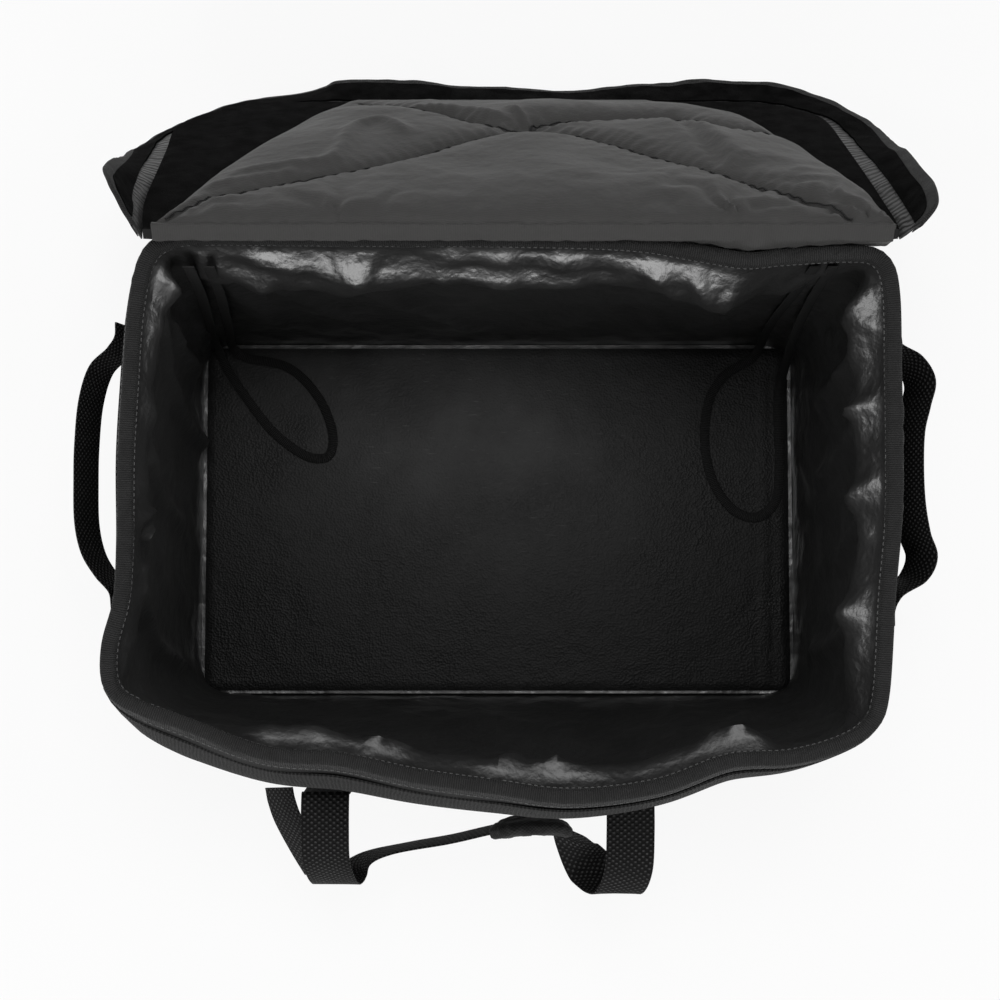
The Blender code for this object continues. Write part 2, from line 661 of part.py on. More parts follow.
def front_handle_root():
    """On the front handle's axis, just off the front wall and its sewn tabs."""
    middle = (FRONT_HANDLE_LEFT + FRONT_HANDLE_RIGHT) / 2
    half = WEBBING_WIDTH / 2
    edges = (FRONT_HANDLE_LEFT - half, FRONT_HANDLE_LEFT + half,
             FRONT_HANDLE_RIGHT - half, FRONT_HANDLE_RIGHT + half)
    wall_y = min(front_point(x, FRONT_HANDLE_HEIGHT, 0.0).y for x in edges)
    return Vector((middle, wall_y - HANDLE_OUT, FRONT_HANDLE_HEIGHT))


def front_return_root():
    """Where the handle's inner layer meets the front wall, clear of the bulge along its own width."""
    middle = FRONT_HANDLE_HEIGHT - FRONT_HANDLE_FALL * RETURN_SHARES[0][1]
    half = WEBBING_WIDTH / 2
    near = FRONT_RETURN_ROOT + WEBBING_THICK
    wall_y = min(front_point(near, z, 0.0).y for z in steps(middle - half, middle + half, TAB_CUTS))
    return Vector((FRONT_RETURN_ROOT, wall_y - SEAM_GAP, middle))


def front_handle_point(x, reach_share, fall_share):
    root = front_handle_root()
    return Vector((x, root.y - FRONT_HANDLE_REACH * reach_share, root.z - FRONT_HANDLE_FALL * fall_share))


def build_front_handle(wall_pivot):
    root = front_handle_root()
    pivot = add_pivot("front_handle_axis", root)
    pivot.parent = wall_pivot
    pivot.matrix_parent_inverse = Matrix.Translation(-wall_pivot.location)
    span = FRONT_HANDLE_RIGHT - FRONT_HANDLE_LEFT
    points, turns = [], []
    for (reach, fall, turn), x_share in zip(FRONT_STRAP_SHARES, FRONT_STRAP_X_SHARES):
        points.append(front_handle_point(FRONT_HANDLE_LEFT + span * x_share, reach, fall))
        turns.append(turn)
    path = smooth_path(points, PATH_CUTS)
    across = []
    for i in range(len(path)):
        low = min(i // PATH_CUTS, len(turns) - 1)
        high = min(low + 1, len(turns) - 1)
        turn = turns[low] + (turns[high] - turns[low]) * (i % PATH_CUTS) / PATH_CUTS
        angle = turn * math.pi / 2
        across.append(Vector((math.cos(angle), 0.0, math.sin(angle))))
    rings = ribbon_rings(path, across, WEBBING_WIDTH, WEBBING_THICK)
    sweep("front_handle_strap", rings, WEBBING_BLACK, 0.8, pivot)

    held = slice(WRAP_FIRST * PATH_CUTS, WRAP_LAST * PATH_CUTS + 1)
    clear = 2 * WRAP_SLOT
    bore = ribbon_rings(path, across, WEBBING_WIDTH + clear, WEBBING_THICK + clear)
    thick = clear + 2 * WRAP_THICK
    skin = ribbon_rings(path, across, WEBBING_WIDTH + thick, WEBBING_THICK + thick)
    sleeve("grip_wrap", skin[held], bore[held], CLOTH_BLACK, 0.85, pivot)

    start = front_return_root()
    meets = points[RETURN_MEETS]
    end_x = meets.x - WEBBING_WIDTH / 2 - WEBBING_THICK - SEAM_GAP
    back = [Vector((start.x + (end_x - start.x) * x, start.y + (meets.y - start.y) * out,
                    root.z - FRONT_HANDLE_FALL * fall)) for out, fall, x in RETURN_SHARES]
    path = smooth_path(back, PATH_CUTS)
    rings = ribbon_rings(path, [Vector((0.0, 0.0, 1.0))] * len(path), WEBBING_WIDTH, WEBBING_THICK)
    sweep("front_handle_return", rings, WEBBING_BLACK, 0.8, pivot)

    for label, x in (("left", FRONT_HANDLE_LEFT), ("right", FRONT_HANDLE_RIGHT)):
        wall_tab("front_handle_tab_" + label, front_point, x, FRONT_HANDLE_HEIGHT, front_heights(), wall_pivot)


# Shares of the back handle's reach and fall, from one end round to the other
BACK_STRAP_SHARES = ((0.0, 0.0), (0.7, 0.12), (1.0, 0.42), (0.9, 0.72), (0.8, 0.93), (0.7, 1.0))
BACK_STRAP_X_SHARES = (1.0, 1.0, 0.97, 0.86, 0.58, 0.0)


def back_handle_root():
    return Vector((0.0, back_point(0.0, BACK_HANDLE_HEIGHT, 0.0).y + HANDLE_OUT, BACK_HANDLE_HEIGHT))


def build_back_handle():
    root = back_handle_root()
    pivot = add_pivot("back_handle_axis", root)
    half = [Vector((-BACK_HANDLE_HALF * x, root.y + BACK_HANDLE_REACH * reach, root.z - BACK_HANDLE_FALL * fall))
            for (reach, fall), x in zip(BACK_STRAP_SHARES, BACK_STRAP_X_SHARES)]
    points = half + [Vector((-p.x, p.y, p.z)) for p in reversed(half[:-1])]
    path = smooth_path(points, PATH_CUTS)
    across = []
    last = len(path) - 1
    for i in range(last + 1):
        along = (path[min(i + 1, last)] - path[max(i - 1, 0)]).normalized()
        across.append(Vector((0.0, 1.0, 0.0)).cross(along))
    rings = ribbon_rings(path, across, WEBBING_WIDTH, WEBBING_THICK)
    sweep("back_handle_strap", rings, WEBBING_BLACK, 0.8, pivot)
    for label, x in (("left", -BACK_HANDLE_HALF), ("right", BACK_HANDLE_HALF)):
        wall_tab("back_handle_tab_" + label, back_point, x, BACK_HANDLE_HEIGHT, [])


# Tape loops inside, as points chosen by hand: x, y, z, and whether the tape lies on the board
LEFT_LOOP = (
    (-0.224, 0.1800, 0.346, 0.0), (-0.232, 0.1775, 0.260, 0.0), (-0.246, 0.1750, 0.150, 0.0),
    (-0.258, 0.1725, 0.060, 0.0), (-0.262, 0.1690, 0.027, 0.3), (-0.250, 0.1600, 0.018, 1.0),
    (-0.208, 0.1500, 0.016, 1.0), (-0.178, 0.1200, 0.016, 1.0), (-0.164, 0.0850, 0.016, 1.0),
    (-0.168, 0.0620, 0.016, 1.0), (-0.190, 0.0620, 0.016, 1.0), (-0.222, 0.0850, 0.016, 1.0),
    (-0.250, 0.1200, 0.016, 1.0), (-0.270, 0.1500, 0.016, 1.0), (-0.276, 0.1665, 0.024, 0.3),
    (-0.275, 0.1725, 0.060, 0.0), (-0.262, 0.1750, 0.150, 0.0), (-0.248, 0.1775, 0.260, 0.0),
    (-0.240, 0.1800, 0.346, 0.0))
RIGHT_LOOP = (
    (0.262, 0.1800, 0.346, 0.0), (0.266, 0.1770, 0.260, 0.0), (0.272, 0.1650, 0.150, 0.0),
    (0.278, 0.1450, 0.060, 0.1), (0.279, 0.1250, 0.024, 0.6), (0.279, 0.1000, 0.016, 1.0),
    (0.280, 0.0550, 0.016, 1.0), (0.276, 0.0180, 0.016, 1.0), (0.258, 0.0010, 0.016, 1.0),
    (0.234, 0.0080, 0.016, 1.0), (0.214, 0.0360, 0.016, 1.0), (0.206, 0.0750, 0.016, 1.0),
    (0.210, 0.1150, 0.016, 1.0), (0.226, 0.1420, 0.016, 1.0), (0.252, 0.1580, 0.017, 0.8),
    (0.259, 0.1690, 0.030, 0.3), (0.257, 0.1735, 0.070, 0.0), (0.252, 0.1755, 0.150, 0.0),
    (0.250, 0.1780, 0.260, 0.0), (0.248, 0.1800, 0.346, 0.0))


def build_loop(name, points):
    """A thin flat tape that hangs from the rear rim, lies on the board and goes back up."""
    path = smooth_path([Vector(p) for p in points], PATH_CUTS)
    last = len(path) - 1
    across = []
    spots = []
    for i, spot in enumerate(path):
        flatness = min(max(spot[3], 0.0), 1.0)
        spots.append(Vector(spot[:3]))
        along = Vector(path[min(i + 1, last)][:3]) - Vector(path[max(i - 1, 0)][:3])
        facing = Vector((0.0, -(1 - flatness), flatness))
        across.append(facing.cross(along).normalized())
    rings = ribbon_rings(spots, across, LOOP_WIDTH, LOOP_THICK)
    sweep(name, rings, WEBBING_BLACK, 0.8)


def main():
    clear_scene()
    front_pivot = add_pivot("front_wall_axis", FRONT_PIVOT)
    lid_pivot = add_pivot("lid_axis", HINGE)
    build_walls(front_pivot)
    build_piping()
    build_bottom()
    build_board()
    build_lid(lid_pivot)
    build_hinge_strip()
    for label in ("front", "left", "right"):
        pivot = add_pivot("skirt_axis_" + label, skirt_frame(label)[0])
        pivot.parent = lid_pivot
        pivot.matrix_parent_inverse = Matrix.Translation(-HINGE)
        build_skirt(label, pivot)
    build_side_handles()
    build_front_handle(front_pivot)
    build_back_handle()
    build_loop("tape_loop_left", LEFT_LOOP)
    build_loop("tape_loop_right", RIGHT_LOOP)


main()
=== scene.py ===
"""Looks of a soft insulated catering bag: its cloth, tapes and webbing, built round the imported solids."""

import math

import bmesh
import bpy
import numpy as np
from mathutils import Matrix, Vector, noise


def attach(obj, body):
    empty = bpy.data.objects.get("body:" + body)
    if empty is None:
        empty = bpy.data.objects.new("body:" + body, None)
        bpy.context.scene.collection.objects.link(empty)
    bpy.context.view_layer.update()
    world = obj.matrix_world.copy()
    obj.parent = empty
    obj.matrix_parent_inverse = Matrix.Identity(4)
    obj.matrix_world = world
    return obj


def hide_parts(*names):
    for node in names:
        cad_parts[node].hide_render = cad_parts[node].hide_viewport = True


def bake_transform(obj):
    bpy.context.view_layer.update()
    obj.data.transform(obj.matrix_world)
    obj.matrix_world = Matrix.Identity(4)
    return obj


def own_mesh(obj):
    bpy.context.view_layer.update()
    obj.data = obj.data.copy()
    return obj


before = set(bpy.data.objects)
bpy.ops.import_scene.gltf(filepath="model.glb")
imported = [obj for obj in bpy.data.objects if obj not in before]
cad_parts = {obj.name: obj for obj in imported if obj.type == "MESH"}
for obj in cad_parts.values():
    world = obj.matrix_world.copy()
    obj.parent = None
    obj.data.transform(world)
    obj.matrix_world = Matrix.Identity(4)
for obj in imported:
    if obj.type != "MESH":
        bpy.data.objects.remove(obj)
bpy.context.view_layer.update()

# Camera, which looks almost straight down into the bag
CAMERA_PLACE = (0.0025, -0.071, 1.500)
CAMERA_TILT_DEGREES = 3.434
CAMERA_LENS_MM = 54.0
CAMERA_SENSOR_MM = 36.0

# Cloth and tape
CLOTH = 0.0012
LINER = 0.0008
GAP = 0.0003
WEBBING_WIDTH = 0.040
WEBBING_THICK = 0.0016
LOOP_WIDTH = 0.009
LOOP_THICK = 0.0012
BINDING_THICK = 0.0012
BINDING_DROP = 0.011
BINDING_CLOTH, BINDING_CROWN, BINDING_ROWS, BINDING_TURNS = 0.0009, 0.0022, 4, 8
HOOK_THICK = 0.0016
HOOK_TOP = 0.020
HOOK_WIDTH = 0.038
HOOK_ROWS = 8
STITCH_DROP, STITCH_PITCH, STITCH_LENGTH, STITCH_THICK = 0.0085, 0.0048, 0.0026, 0.0006
STITCH_CUTS = 4
RIBBON_BEVEL_SHARE = 0.35

# Noise: how far its seed shifts it along each axis, and the octaves of a crease
SWELL_SHIFTS, CREASE_SHIFTS = (2.71, 5.13, 0.77), (3.17, 1.31, 7.77)
CREASE_OCTAVES, OCTAVE_SCALE, OCTAVE_SHARE, CREASE_SHARPNESS = 3, 2.03, 0.5, 2.2

# Body of the bag
RIM_HEIGHT = 0.361
FRONT_RIM_HEIGHT, FRONT_RIM_START, FRONT_RIM_REACH = 0.357, -0.10, 0.06
FRONT_BLEND_START, FRONT_BLEND_END = 0.285, 0.08
WALL = 0.0086
FOOT = 0.0009
COLUMN_STEP = 0.005
ROW_STEP = 0.006
PATH_CUTS, LINE_CUTS = 8, 6
SHARP_DEGREES = 55.0
NO_LENGTH = 1e-9

# Swells and creases, here and below: the size of the noise, its height and its seed
OUTER_SWELL = (0.09, 0.003, 1)

# Tape loops: places along each one, and the share by which it lies flat there
LEFT_LOOP = (
    (-0.224, 0.1800, 0.346, 0), (-0.232, 0.1775, 0.260, 0), (-0.246, 0.1750, 0.150, 0),
    (-0.258, 0.1725, 0.060, 0), (-0.262, 0.1690, 0.027, 0.3), (-0.250, 0.1600, 0.018, 1),
    (-0.208, 0.1500, 0.016, 1), (-0.178, 0.1200, 0.016, 1), (-0.164, 0.0850, 0.016, 1),
    (-0.168, 0.0620, 0.016, 1), (-0.190, 0.0620, 0.016, 1), (-0.222, 0.0850, 0.016, 1),
    (-0.250, 0.1200, 0.016, 1), (-0.270, 0.1500, 0.016, 1), (-0.276, 0.1665, 0.024, 0.3),
    (-0.275, 0.1725, 0.060, 0), (-0.262, 0.1750, 0.150, 0), (-0.248, 0.1775, 0.260, 0),
    (-0.240, 0.1800, 0.346, 0))
RIGHT_LOOP = (
    (0.262, 0.1800, 0.346, 0), (0.266, 0.1770, 0.260, 0), (0.272, 0.1650, 0.150, 0),
    (0.278, 0.1450, 0.060, 0.1), (0.279, 0.1250, 0.024, 0.6), (0.279, 0.1000, 0.016, 1),
    (0.280, 0.0550, 0.016, 1), (0.276, 0.0180, 0.016, 1), (0.258, 0.0010, 0.016, 1),
    (0.234, 0.0080, 0.016, 1), (0.214, 0.0360, 0.016, 1), (0.206, 0.0750, 0.016, 1),
    (0.210, 0.1150, 0.016, 1), (0.226, 0.1420, 0.016, 1), (0.252, 0.1580, 0.017, 0.8),
    (0.259, 0.1690, 0.030, 0.3), (0.257, 0.1735, 0.070, 0), (0.252, 0.1755, 0.150, 0),
    (0.250, 0.1780, 0.260, 0), (0.248, 0.1800, 0.346, 0))

# The walls' plan, once round from the middle of the front to the right: the liner's place at the rim and
# at the floor, how far the outer cloth and the liner stand out between the two, and how high they do
PLAN = (
    (0.0000, -0.2155, 0.0000, -0.1744, 0.036, 0.012), (0.0559, -0.2225, 0.0600, -0.1744, 0.034, 0.010),
    (0.1206, -0.2150, 0.1200, -0.1744, 0.030, 0.012), (0.1750, -0.1960, 0.1750, -0.1744, 0.026, 0.010),
    (0.2232, -0.1930, 0.2250, -0.1744, 0.020, 0.006), (0.2600, -0.1830, 0.2620, -0.1740, 0.014, 0.004),
    (0.2800, -0.1700, 0.2850, -0.1660, 0.012, 0.003), (0.2880, -0.1480, 0.2930, -0.1450, 0.010, 0.002),
    (0.2925, -0.0786, 0.2934, -0.0800, 0.012, 0.001), (0.2985, -0.0179, 0.2934, -0.0200, 0.013, 0.002),
    (0.3000, 0.0400, 0.2934, 0.0400, 0.013, 0.002), (0.3002, 0.1000, 0.2934, 0.1000, 0.011, 0.001),
    (0.2998, 0.1560, 0.2934, 0.1450, 0.009, 0.001), (0.2935, 0.1790, 0.2850, 0.1660, 0.007, 0.002),
    (0.2740, 0.1838, 0.2600, 0.1744, 0.005, 0.001), (0.2222, 0.1810, 0.2200, 0.1744, 0.004, 0.001),
    (0.1915, 0.1785, 0.1900, 0.1744, 0.006, 0.001), (0.1516, 0.1850, 0.1500, 0.1744, 0.006, 0.001),
    (0.1000, 0.1930, 0.1000, 0.1744, 0.006, 0.001), (0.0000, 0.1960, 0.0000, 0.1744, 0.006, 0.001),
    (-0.0900, 0.1965, -0.0900, 0.1744, 0.006, 0.001), (-0.1600, 0.1970, -0.1600, 0.1744, 0.005, 0.001),
    (-0.2200, 0.1975, -0.2300, 0.1744, 0.004, 0.001), (-0.2500, 0.1950, -0.2700, 0.1730, 0.006, 0.001),
    (-0.2660, 0.1800, -0.2900, 0.1600, 0.012, 0.002), (-0.2736, 0.1400, -0.2934, 0.1200, 0.014, 0.002),
    (-0.2765, 0.0892, -0.2934, 0.0750, 0.016, 0.002), (-0.2790, 0.0300, -0.2934, 0.0300, 0.016, 0.002),
    (-0.2785, -0.0331, -0.2934, -0.0331, 0.014, 0.003), (-0.2810, -0.0786, -0.2934, -0.0786, 0.012, 0.002),
    (-0.2900, -0.1150, -0.2934, -0.1150, 0.010, 0.001), (-0.2880, -0.1430, -0.2925, -0.1460, 0.014, 0.002),
    (-0.2680, -0.1560, -0.2830, -0.1670, 0.024, 0.006), (-0.2335, -0.1681, -0.2500, -0.1744, 0.032, 0.012),
    (-0.1752, -0.1895, -0.1752, -0.1744, 0.034, 0.014), (-0.1180, -0.1945, -0.1180, -0.1744, 0.036, 0.014),
    (-0.0600, -0.2070, -0.0600, -0.1744, 0.036, 0.012))
FRONT_RIGHT_COLUMN = 6
FRONT_LEFT_COLUMN = 32
BELLY_POWER = 1.9

# The liner's own slack: on each side the roll that hangs under the rim (how far it stands in, how high its
# middle is, how tall it is) and folds along lines of place and height (width, rise)
ROLLS = {"front": (0.015, 0.326, 0.022), "back": (0.022, 0.302, 0.034), "left": (0.009, 0.325, 0.020),
         "right": (0.012, 0.312, 0.024)}
ROLL_ENDS = (0.250, 0.060)
ROLL_UNDER, ROLL_VARY, ROLL_CLEAR = 1.8, (0.11, 0.6, 21), 0.050
LINER_FOLDS = {
    "back": (
        (((-0.250, 0.345), (-0.150, 0.262), (-0.060, 0.150), (-0.020, 0.060)), 0.012, 0.0060),
        (((-0.252, 0.335), (-0.190, 0.230), (-0.130, 0.100)), 0.011, 0.0055),
        (((-0.255, 0.325), (-0.225, 0.200), (-0.200, 0.060)), 0.012, 0.0050),
        (((-0.240, 0.352), (-0.100, 0.318), (0.060, 0.312), (0.140, 0.330)), 0.007, 0.0045),
        (((-0.060, 0.338), (0.080, 0.336), (0.180, 0.330)), 0.006, 0.0035),
        (((0.120, 0.340), (0.160, 0.300), (0.200, 0.285)), 0.006, 0.0060),
        (((0.150, 0.345), (0.172, 0.315), (0.180, 0.280)), 0.005, 0.0065),
        (((0.195, 0.345), (0.185, 0.305), (0.196, 0.270)), 0.005, 0.0060),
        (((0.270, 0.350), (0.240, 0.300), (0.190, 0.275)), 0.009, 0.0055),
        (((-0.130, 0.350), (-0.110, 0.320), (-0.090, 0.345)), 0.004, 0.0050),
        (((-0.110, 0.200), (-0.060, 0.180), (0.030, 0.190)), 0.007, 0.0022)),
    "front": (
        (((-0.120, 0.350), (-0.080, 0.325), (0.020, 0.318), (0.060, 0.335)), 0.007, 0.0060),
        (((0.020, 0.350), (0.060, 0.312), (0.150, 0.320), (0.220, 0.345)), 0.008, 0.0060),
        (((-0.190, 0.340), (-0.150, 0.280), (-0.100, 0.180)), 0.010, 0.0060),
        (((0.035, 0.350), (0.040, 0.290), (0.030, 0.220)), 0.005, -0.0080),
        (((-0.010, 0.345), (0.020, 0.300), (0.000, 0.240)), 0.006, 0.0060),
        (((0.120, 0.300), (0.180, 0.240), (0.230, 0.120)), 0.011, 0.0055)),
    "left": (
        (((0.185, 0.350), (0.120, 0.250), (0.080, 0.120), (0.070, 0.020)), 0.010, 0.0060),
        (((0.180, 0.340), (0.150, 0.220), (0.140, 0.060)), 0.009, 0.0060),
        (((0.090, 0.345), (0.020, 0.260), (-0.020, 0.120)), 0.010, 0.0045),
        (((-0.020, 0.345), (-0.010, 0.310), (-0.040, 0.300), (-0.060, 0.345)), 0.006, 0.0060),
        (((-0.030, 0.330), (-0.090, 0.200), (-0.120, 0.060)), 0.012, -0.0070),
        (((-0.060, 0.335), (-0.115, 0.220), (-0.150, 0.080)), 0.009, 0.0060)),
    "right": (
        (((0.170, 0.350), (0.120, 0.260), (0.100, 0.120)), 0.010, 0.0060),
        (((0.150, 0.345), (0.060, 0.240), (0.020, 0.100)), 0.010, 0.0050),
        (((0.080, 0.345), (0.070, 0.300), (0.095, 0.270)), 0.006, 0.0060),
        (((0.020, 0.350), (-0.010, 0.290), (-0.060, 0.180)), 0.009, 0.0055),
        (((-0.080, 0.345), (-0.110, 0.250), (-0.130, 0.100)), 0.010, 0.0060))}
FOLD_TAPER = 0.030
FOLD_SHARES = {"front": 1.0, "back": 1.0, "left": 1.7, "right": 1.7}
SLACK_SWELL, SLACK_CREASE, SLACK_STRETCH = (0.045, 0.0040, 22), (0.042, 0.0022, 23), (1, 1, 1.6)

# Where the binding is ruched: the side, and the places between which it is
RUCHES = ((1, -0.020, 0.122), (-1, -0.080, -0.018), (-1, 0.165, 0.210))
RUCHE_SWELL = (0.0105, 0.0016, 31)

# The plan's columns between which the back wall is, and those of the corners' piping
BACK_SIDE = (14, 22)
PIPING_COLUMNS = (6, 13, 24, 31)
PIPING_RADIUS, PIPING_FOOT, PIPING_TOP = 0.0018, 0.004, 0.300
PIPING_ROWS, PIPING_SIDES = 40, 8

# Board and floor of the bag
BOARD_WIDTH, BOARD_DEPTH, BOARD_FOOT, BOARD_TOP = 0.578, 0.340, 0.0092, 0.0141
BOARD_CORNER, BOARD_EDGE, BOARD_STEP = 0.012, 0.0022, 0.005
BOARD_WELTS = (0.2640, 0.2810)
# Painted light on the board: the place where its pool of light is brightest, and how far it spreads before
# painted shade darkens it towards the walls
BOARD_PAINTED_LIGHT_PLACE, BOARD_PAINTED_LIGHT_REACH = (-0.030, 0.130), (0.250, 0.230)
WELT_HEIGHT, WELT_WIDTH = 0.0011, 0.0022
FLOOR_WIDTH, FLOOR_DEPTH, FLOOR_MIDDLE = 0.5862, 0.3470, 0.0006
FLOOR_LINER_TOP = 0.0086
BASE_WIDTH, BASE_DEPTH, BASE_CORNER = 0.602, 0.364, 0.030

# Lid: its frame on the hinge, its pad and its lining
LID_ORIGIN = np.array([0.0, 0.1932, 0.3735])
LID_V = np.array([0.0, 0.539407, -0.842045])
LID_W = np.array([0.0, 0.842045, 0.539407])
SIDE, UP = np.array([1.0, 0.0, 0.0]), np.array([0.0, 0.0, 1.0])
LID_START, LID_DEPTH, LID_EDGE, LID_CROWN = 0.002, 0.3797, 0.012, 0.018
PAD_TOP, LINING_FOOT = 0.0086, 0.0089
# The dark pile sheet over the pad, which stands partly for painted shade, creases outside the lining and up
# to this distance inside its edge
MARGIN_UNDER = 0.004
ROW_POWER = 1.3
PAD_STEP, LINING_STEP = 0.008, 0.0032
LINING_LEFT = ((0.003, -0.262), (0.042, -0.249), (0.12, -0.232), (0.21, -0.205), (0.30, -0.172),
               (0.368, -0.144), (0.376, -0.136))
LINING_RIGHT = ((0.003, 0.303), (0.030, 0.299), (0.075, 0.296), (0.12, 0.285), (0.155, 0.275), (0.195, 0.267),
                (0.23, 0.253), (0.285, 0.234), (0.338, 0.193), (0.376, 0.144))
SEAMS = (
    ((-0.256, 0.002), (-0.230, 0.036), (-0.204, 0.056), (-0.122, 0.109), (-0.045, 0.178), (0.017, 0.232),
     (0.028, 0.241)),
    ((0.028, 0.241), (0.063, 0.219), (0.102, 0.181), (0.180, 0.103), (0.223, 0.056), (0.270, 0.008)),
    ((0.028, 0.241), (0.039, 0.262), (0.094, 0.273), (0.155, 0.271), (0.171, 0.258), (0.190, 0.237),
     (0.243, 0.226)),
    ((0.028, 0.243), (0.003, 0.248), (-0.026, 0.265), (-0.046, 0.286), (-0.077, 0.303), (-0.135, 0.350)))
SEAM_REACH, SEAM_SINK_SHARE, SEAM_SLIT, SEAM_SLIT_WIDTH = 0.015, 0.66, 0.0020, 0.0036
BORDER_REACH, FAR_REACH, FAR_POWER = 0.075, 0.090, 0.7
QUILT_SWELL, QUILT_CREASE, QUILT_LOWEST = (0.075, 0.0030, 6), (0.09, 0.0012, 7), -0.0015
QUILT_DRIFT, PUCKER_DRIFT, PINCH_DRIFT, RUFFLE_DRIFT = (0.03, 1.0, 5), 4, 5, 6
PAD_INSET, PAD_ROLL, PAD_SWELL = 0.0006, 0.0008, (0.08, 0.0015, 8)
MARGIN_CREASE, MARGIN_ROLL, MARGIN_ROLL_SHARE = (0.035, 0.0006, 9), 0.003, 0.4
# The dark strip on each sewn line, thread and painted shade: its width and thickness, how far inside the
# lining's edge it stops, and how far round it, in lining steps, the lining's height is sampled
SEAM_WIDTH, SEAM_THREAD, SEAM_END, SEAM_LIFT_SHARE = 0.0022, 0.0010, 0.004, 0.85
PUCKER_PITCH, PUCKER_HEIGHT, PUCKER_REACH = 0.0125, 0.0014, 0.014
FOLD_END = 0.02
FOLDS = (
    (((-0.217, 0.093), (-0.175, 0.109), (-0.141, 0.123), (-0.131, 0.154), (-0.125, 0.212), (-0.102, 0.235),
      (-0.074, 0.194)), 0.0075, 0.0042),
    (((-0.240, 0.060), (-0.185, 0.088), (-0.150, 0.100)), 0.0060, 0.0030),
    (((0.155, 0.272), (0.172, 0.200), (0.186, 0.110)), 0.0085, -0.0060),
    (((0.160, 0.265), (0.180, 0.200), (0.202, 0.110)), 0.0160, 0.0048),
    (((-0.092, 0.310), (-0.040, 0.300), (0.010, 0.262)), 0.0080, 0.0032),
    (((0.010, 0.300), (0.024, 0.268), (0.030, 0.246)), 0.0040, 0.0040),
    (((0.022, 0.210), (0.035, 0.130), (0.070, 0.060)), 0.0300, 0.0030),
    (((0.060, 0.205), (0.110, 0.120), (0.140, 0.080)), 0.0260, -0.0022))
PINCHES = ((-0.117, 0.002, 0.040, 0.0034, 7.0), (0.183, 0.002, 0.050, 0.0040, 8.0),
           (-0.262, 0.002, 0.060, 0.0030, 10.0), (0.288, 0.002, 0.070, 0.0034, 11.0),
           (0.028, 0.241, 0.030, 0.0016, 9.0))
HINGE_RUFFLE, HINGE_RUFFLE_PITCH, HINGE_RUFFLE_REACH = 0.0014, 0.016, 0.010

# Skirt of the lid, once round from the left end at the hinge: root u and v, which way it faces (0 is to
# the left and 90 to the far edge), its flare from the lid's plane, and its width
BAND = (
    (-0.2700, 0.004, 0, 60, 0.012), (-0.2725, 0.016, 0, 62, 0.036), (-0.2770, 0.040, 0, 60, 0.048),
    (-0.2830, 0.080, 0, 50, 0.044), (-0.2880, 0.150, 0, 30, 0.038), (-0.2930, 0.220, 0, -4, 0.040),
    (-0.2980, 0.280, 0, -18, 0.046), (-0.2904, 0.3183, 22.5, -22, 0.054),
    (-0.2687, 0.3507, 45, -14, 0.056),
    (-0.2363, 0.3724, 67.5, -5, 0.058), (-0.1980, 0.380, 90, 2, 0.060), (-0.1750, 0.380, 90, 9, 0.060),
    (-0.1540, 0.380, 90, 15, 0.060), (-0.0850, 0.380, 90, 13, 0.060), (-0.0300, 0.380, 90, 8, 0.060),
    (0.0640, 0.380, 90, 3, 0.060), (0.1530, 0.380, 90, 9, 0.060), (0.1980, 0.380, 90, 14, 0.060),
    (0.2300, 0.380, 90, 12, 0.060), (0.2606, 0.3739, 112.5, 12, 0.058), (0.2866, 0.3566, 135, 7, 0.054),
    (0.3039, 0.3306, 157.5, 2, 0.047), (0.3100, 0.300, 180, -2, 0.049), (0.3105, 0.240, 182, 8, 0.046),
    (0.3105, 0.180, 184, 22, 0.044), (0.3100, 0.110, 188, 37, 0.042), (0.3090, 0.060, 192, 44, 0.043),
    (0.3085, 0.030, 196, 48, 0.041), (0.3075, 0.014, 200, 44, 0.035), (0.3065, 0.004, 204, 42, 0.020))
LEFT_BAND, LEFT_CORNER, FRONT_BAND, RIGHT_CORNER, RIGHT_BAND = (0, 6), (6, 10), (10, 18), (18, 22), (22, 29)
BAND_CUTS = 14
SKIRT_WIDTH, SKIRT_CLOTH, SKIRT_LEVEL, SKIRT_ROWS = 0.060, 0.0012, 0.0014, 16
SKIRT_SWELL, SKIRT_SWELL_REACH = (0.05, 0.0030, 11), 0.03
SKIRT_CREASE, SKIRT_CREASE_REACH = (0.016, 0.0010, 12), 0.008
PILE_START, PILE_THICK, PILE_MARGIN, PILE_ROWS = 0.016, 0.0018, 0.0085, 12
TRIM_LEG, TRIM_OUT, TRIM_THICK, TRIM_NEAREST = 0.0090, 0.0012, 0.0009, 0.0005
TRIM_ROWS, TRIM_TURNS = 5, 6
FOLD_ROOT, FOLD_LENGTH = 0.303, 0.042

# Hinge strip between the rear rim and the lid
STRIP_ENDS = (-0.262, 0.303)
STRIP_FOOT, STRIP_TOP, STRIP_CLOTH = 0.346, 0.3655, 0.0008
STRIP_STAND, STRIP_STEP, STRIP_CUTS = 0.0016, 0.003, 4
STRIP_LAP, STRIP_GATHER = 4 * STRIP_STAND, (0.009, 0.0012, 14)
STRIP_TURN = ((0.0, 0.1975, 0.3630), (0.0, 0.2055, 0.3745))

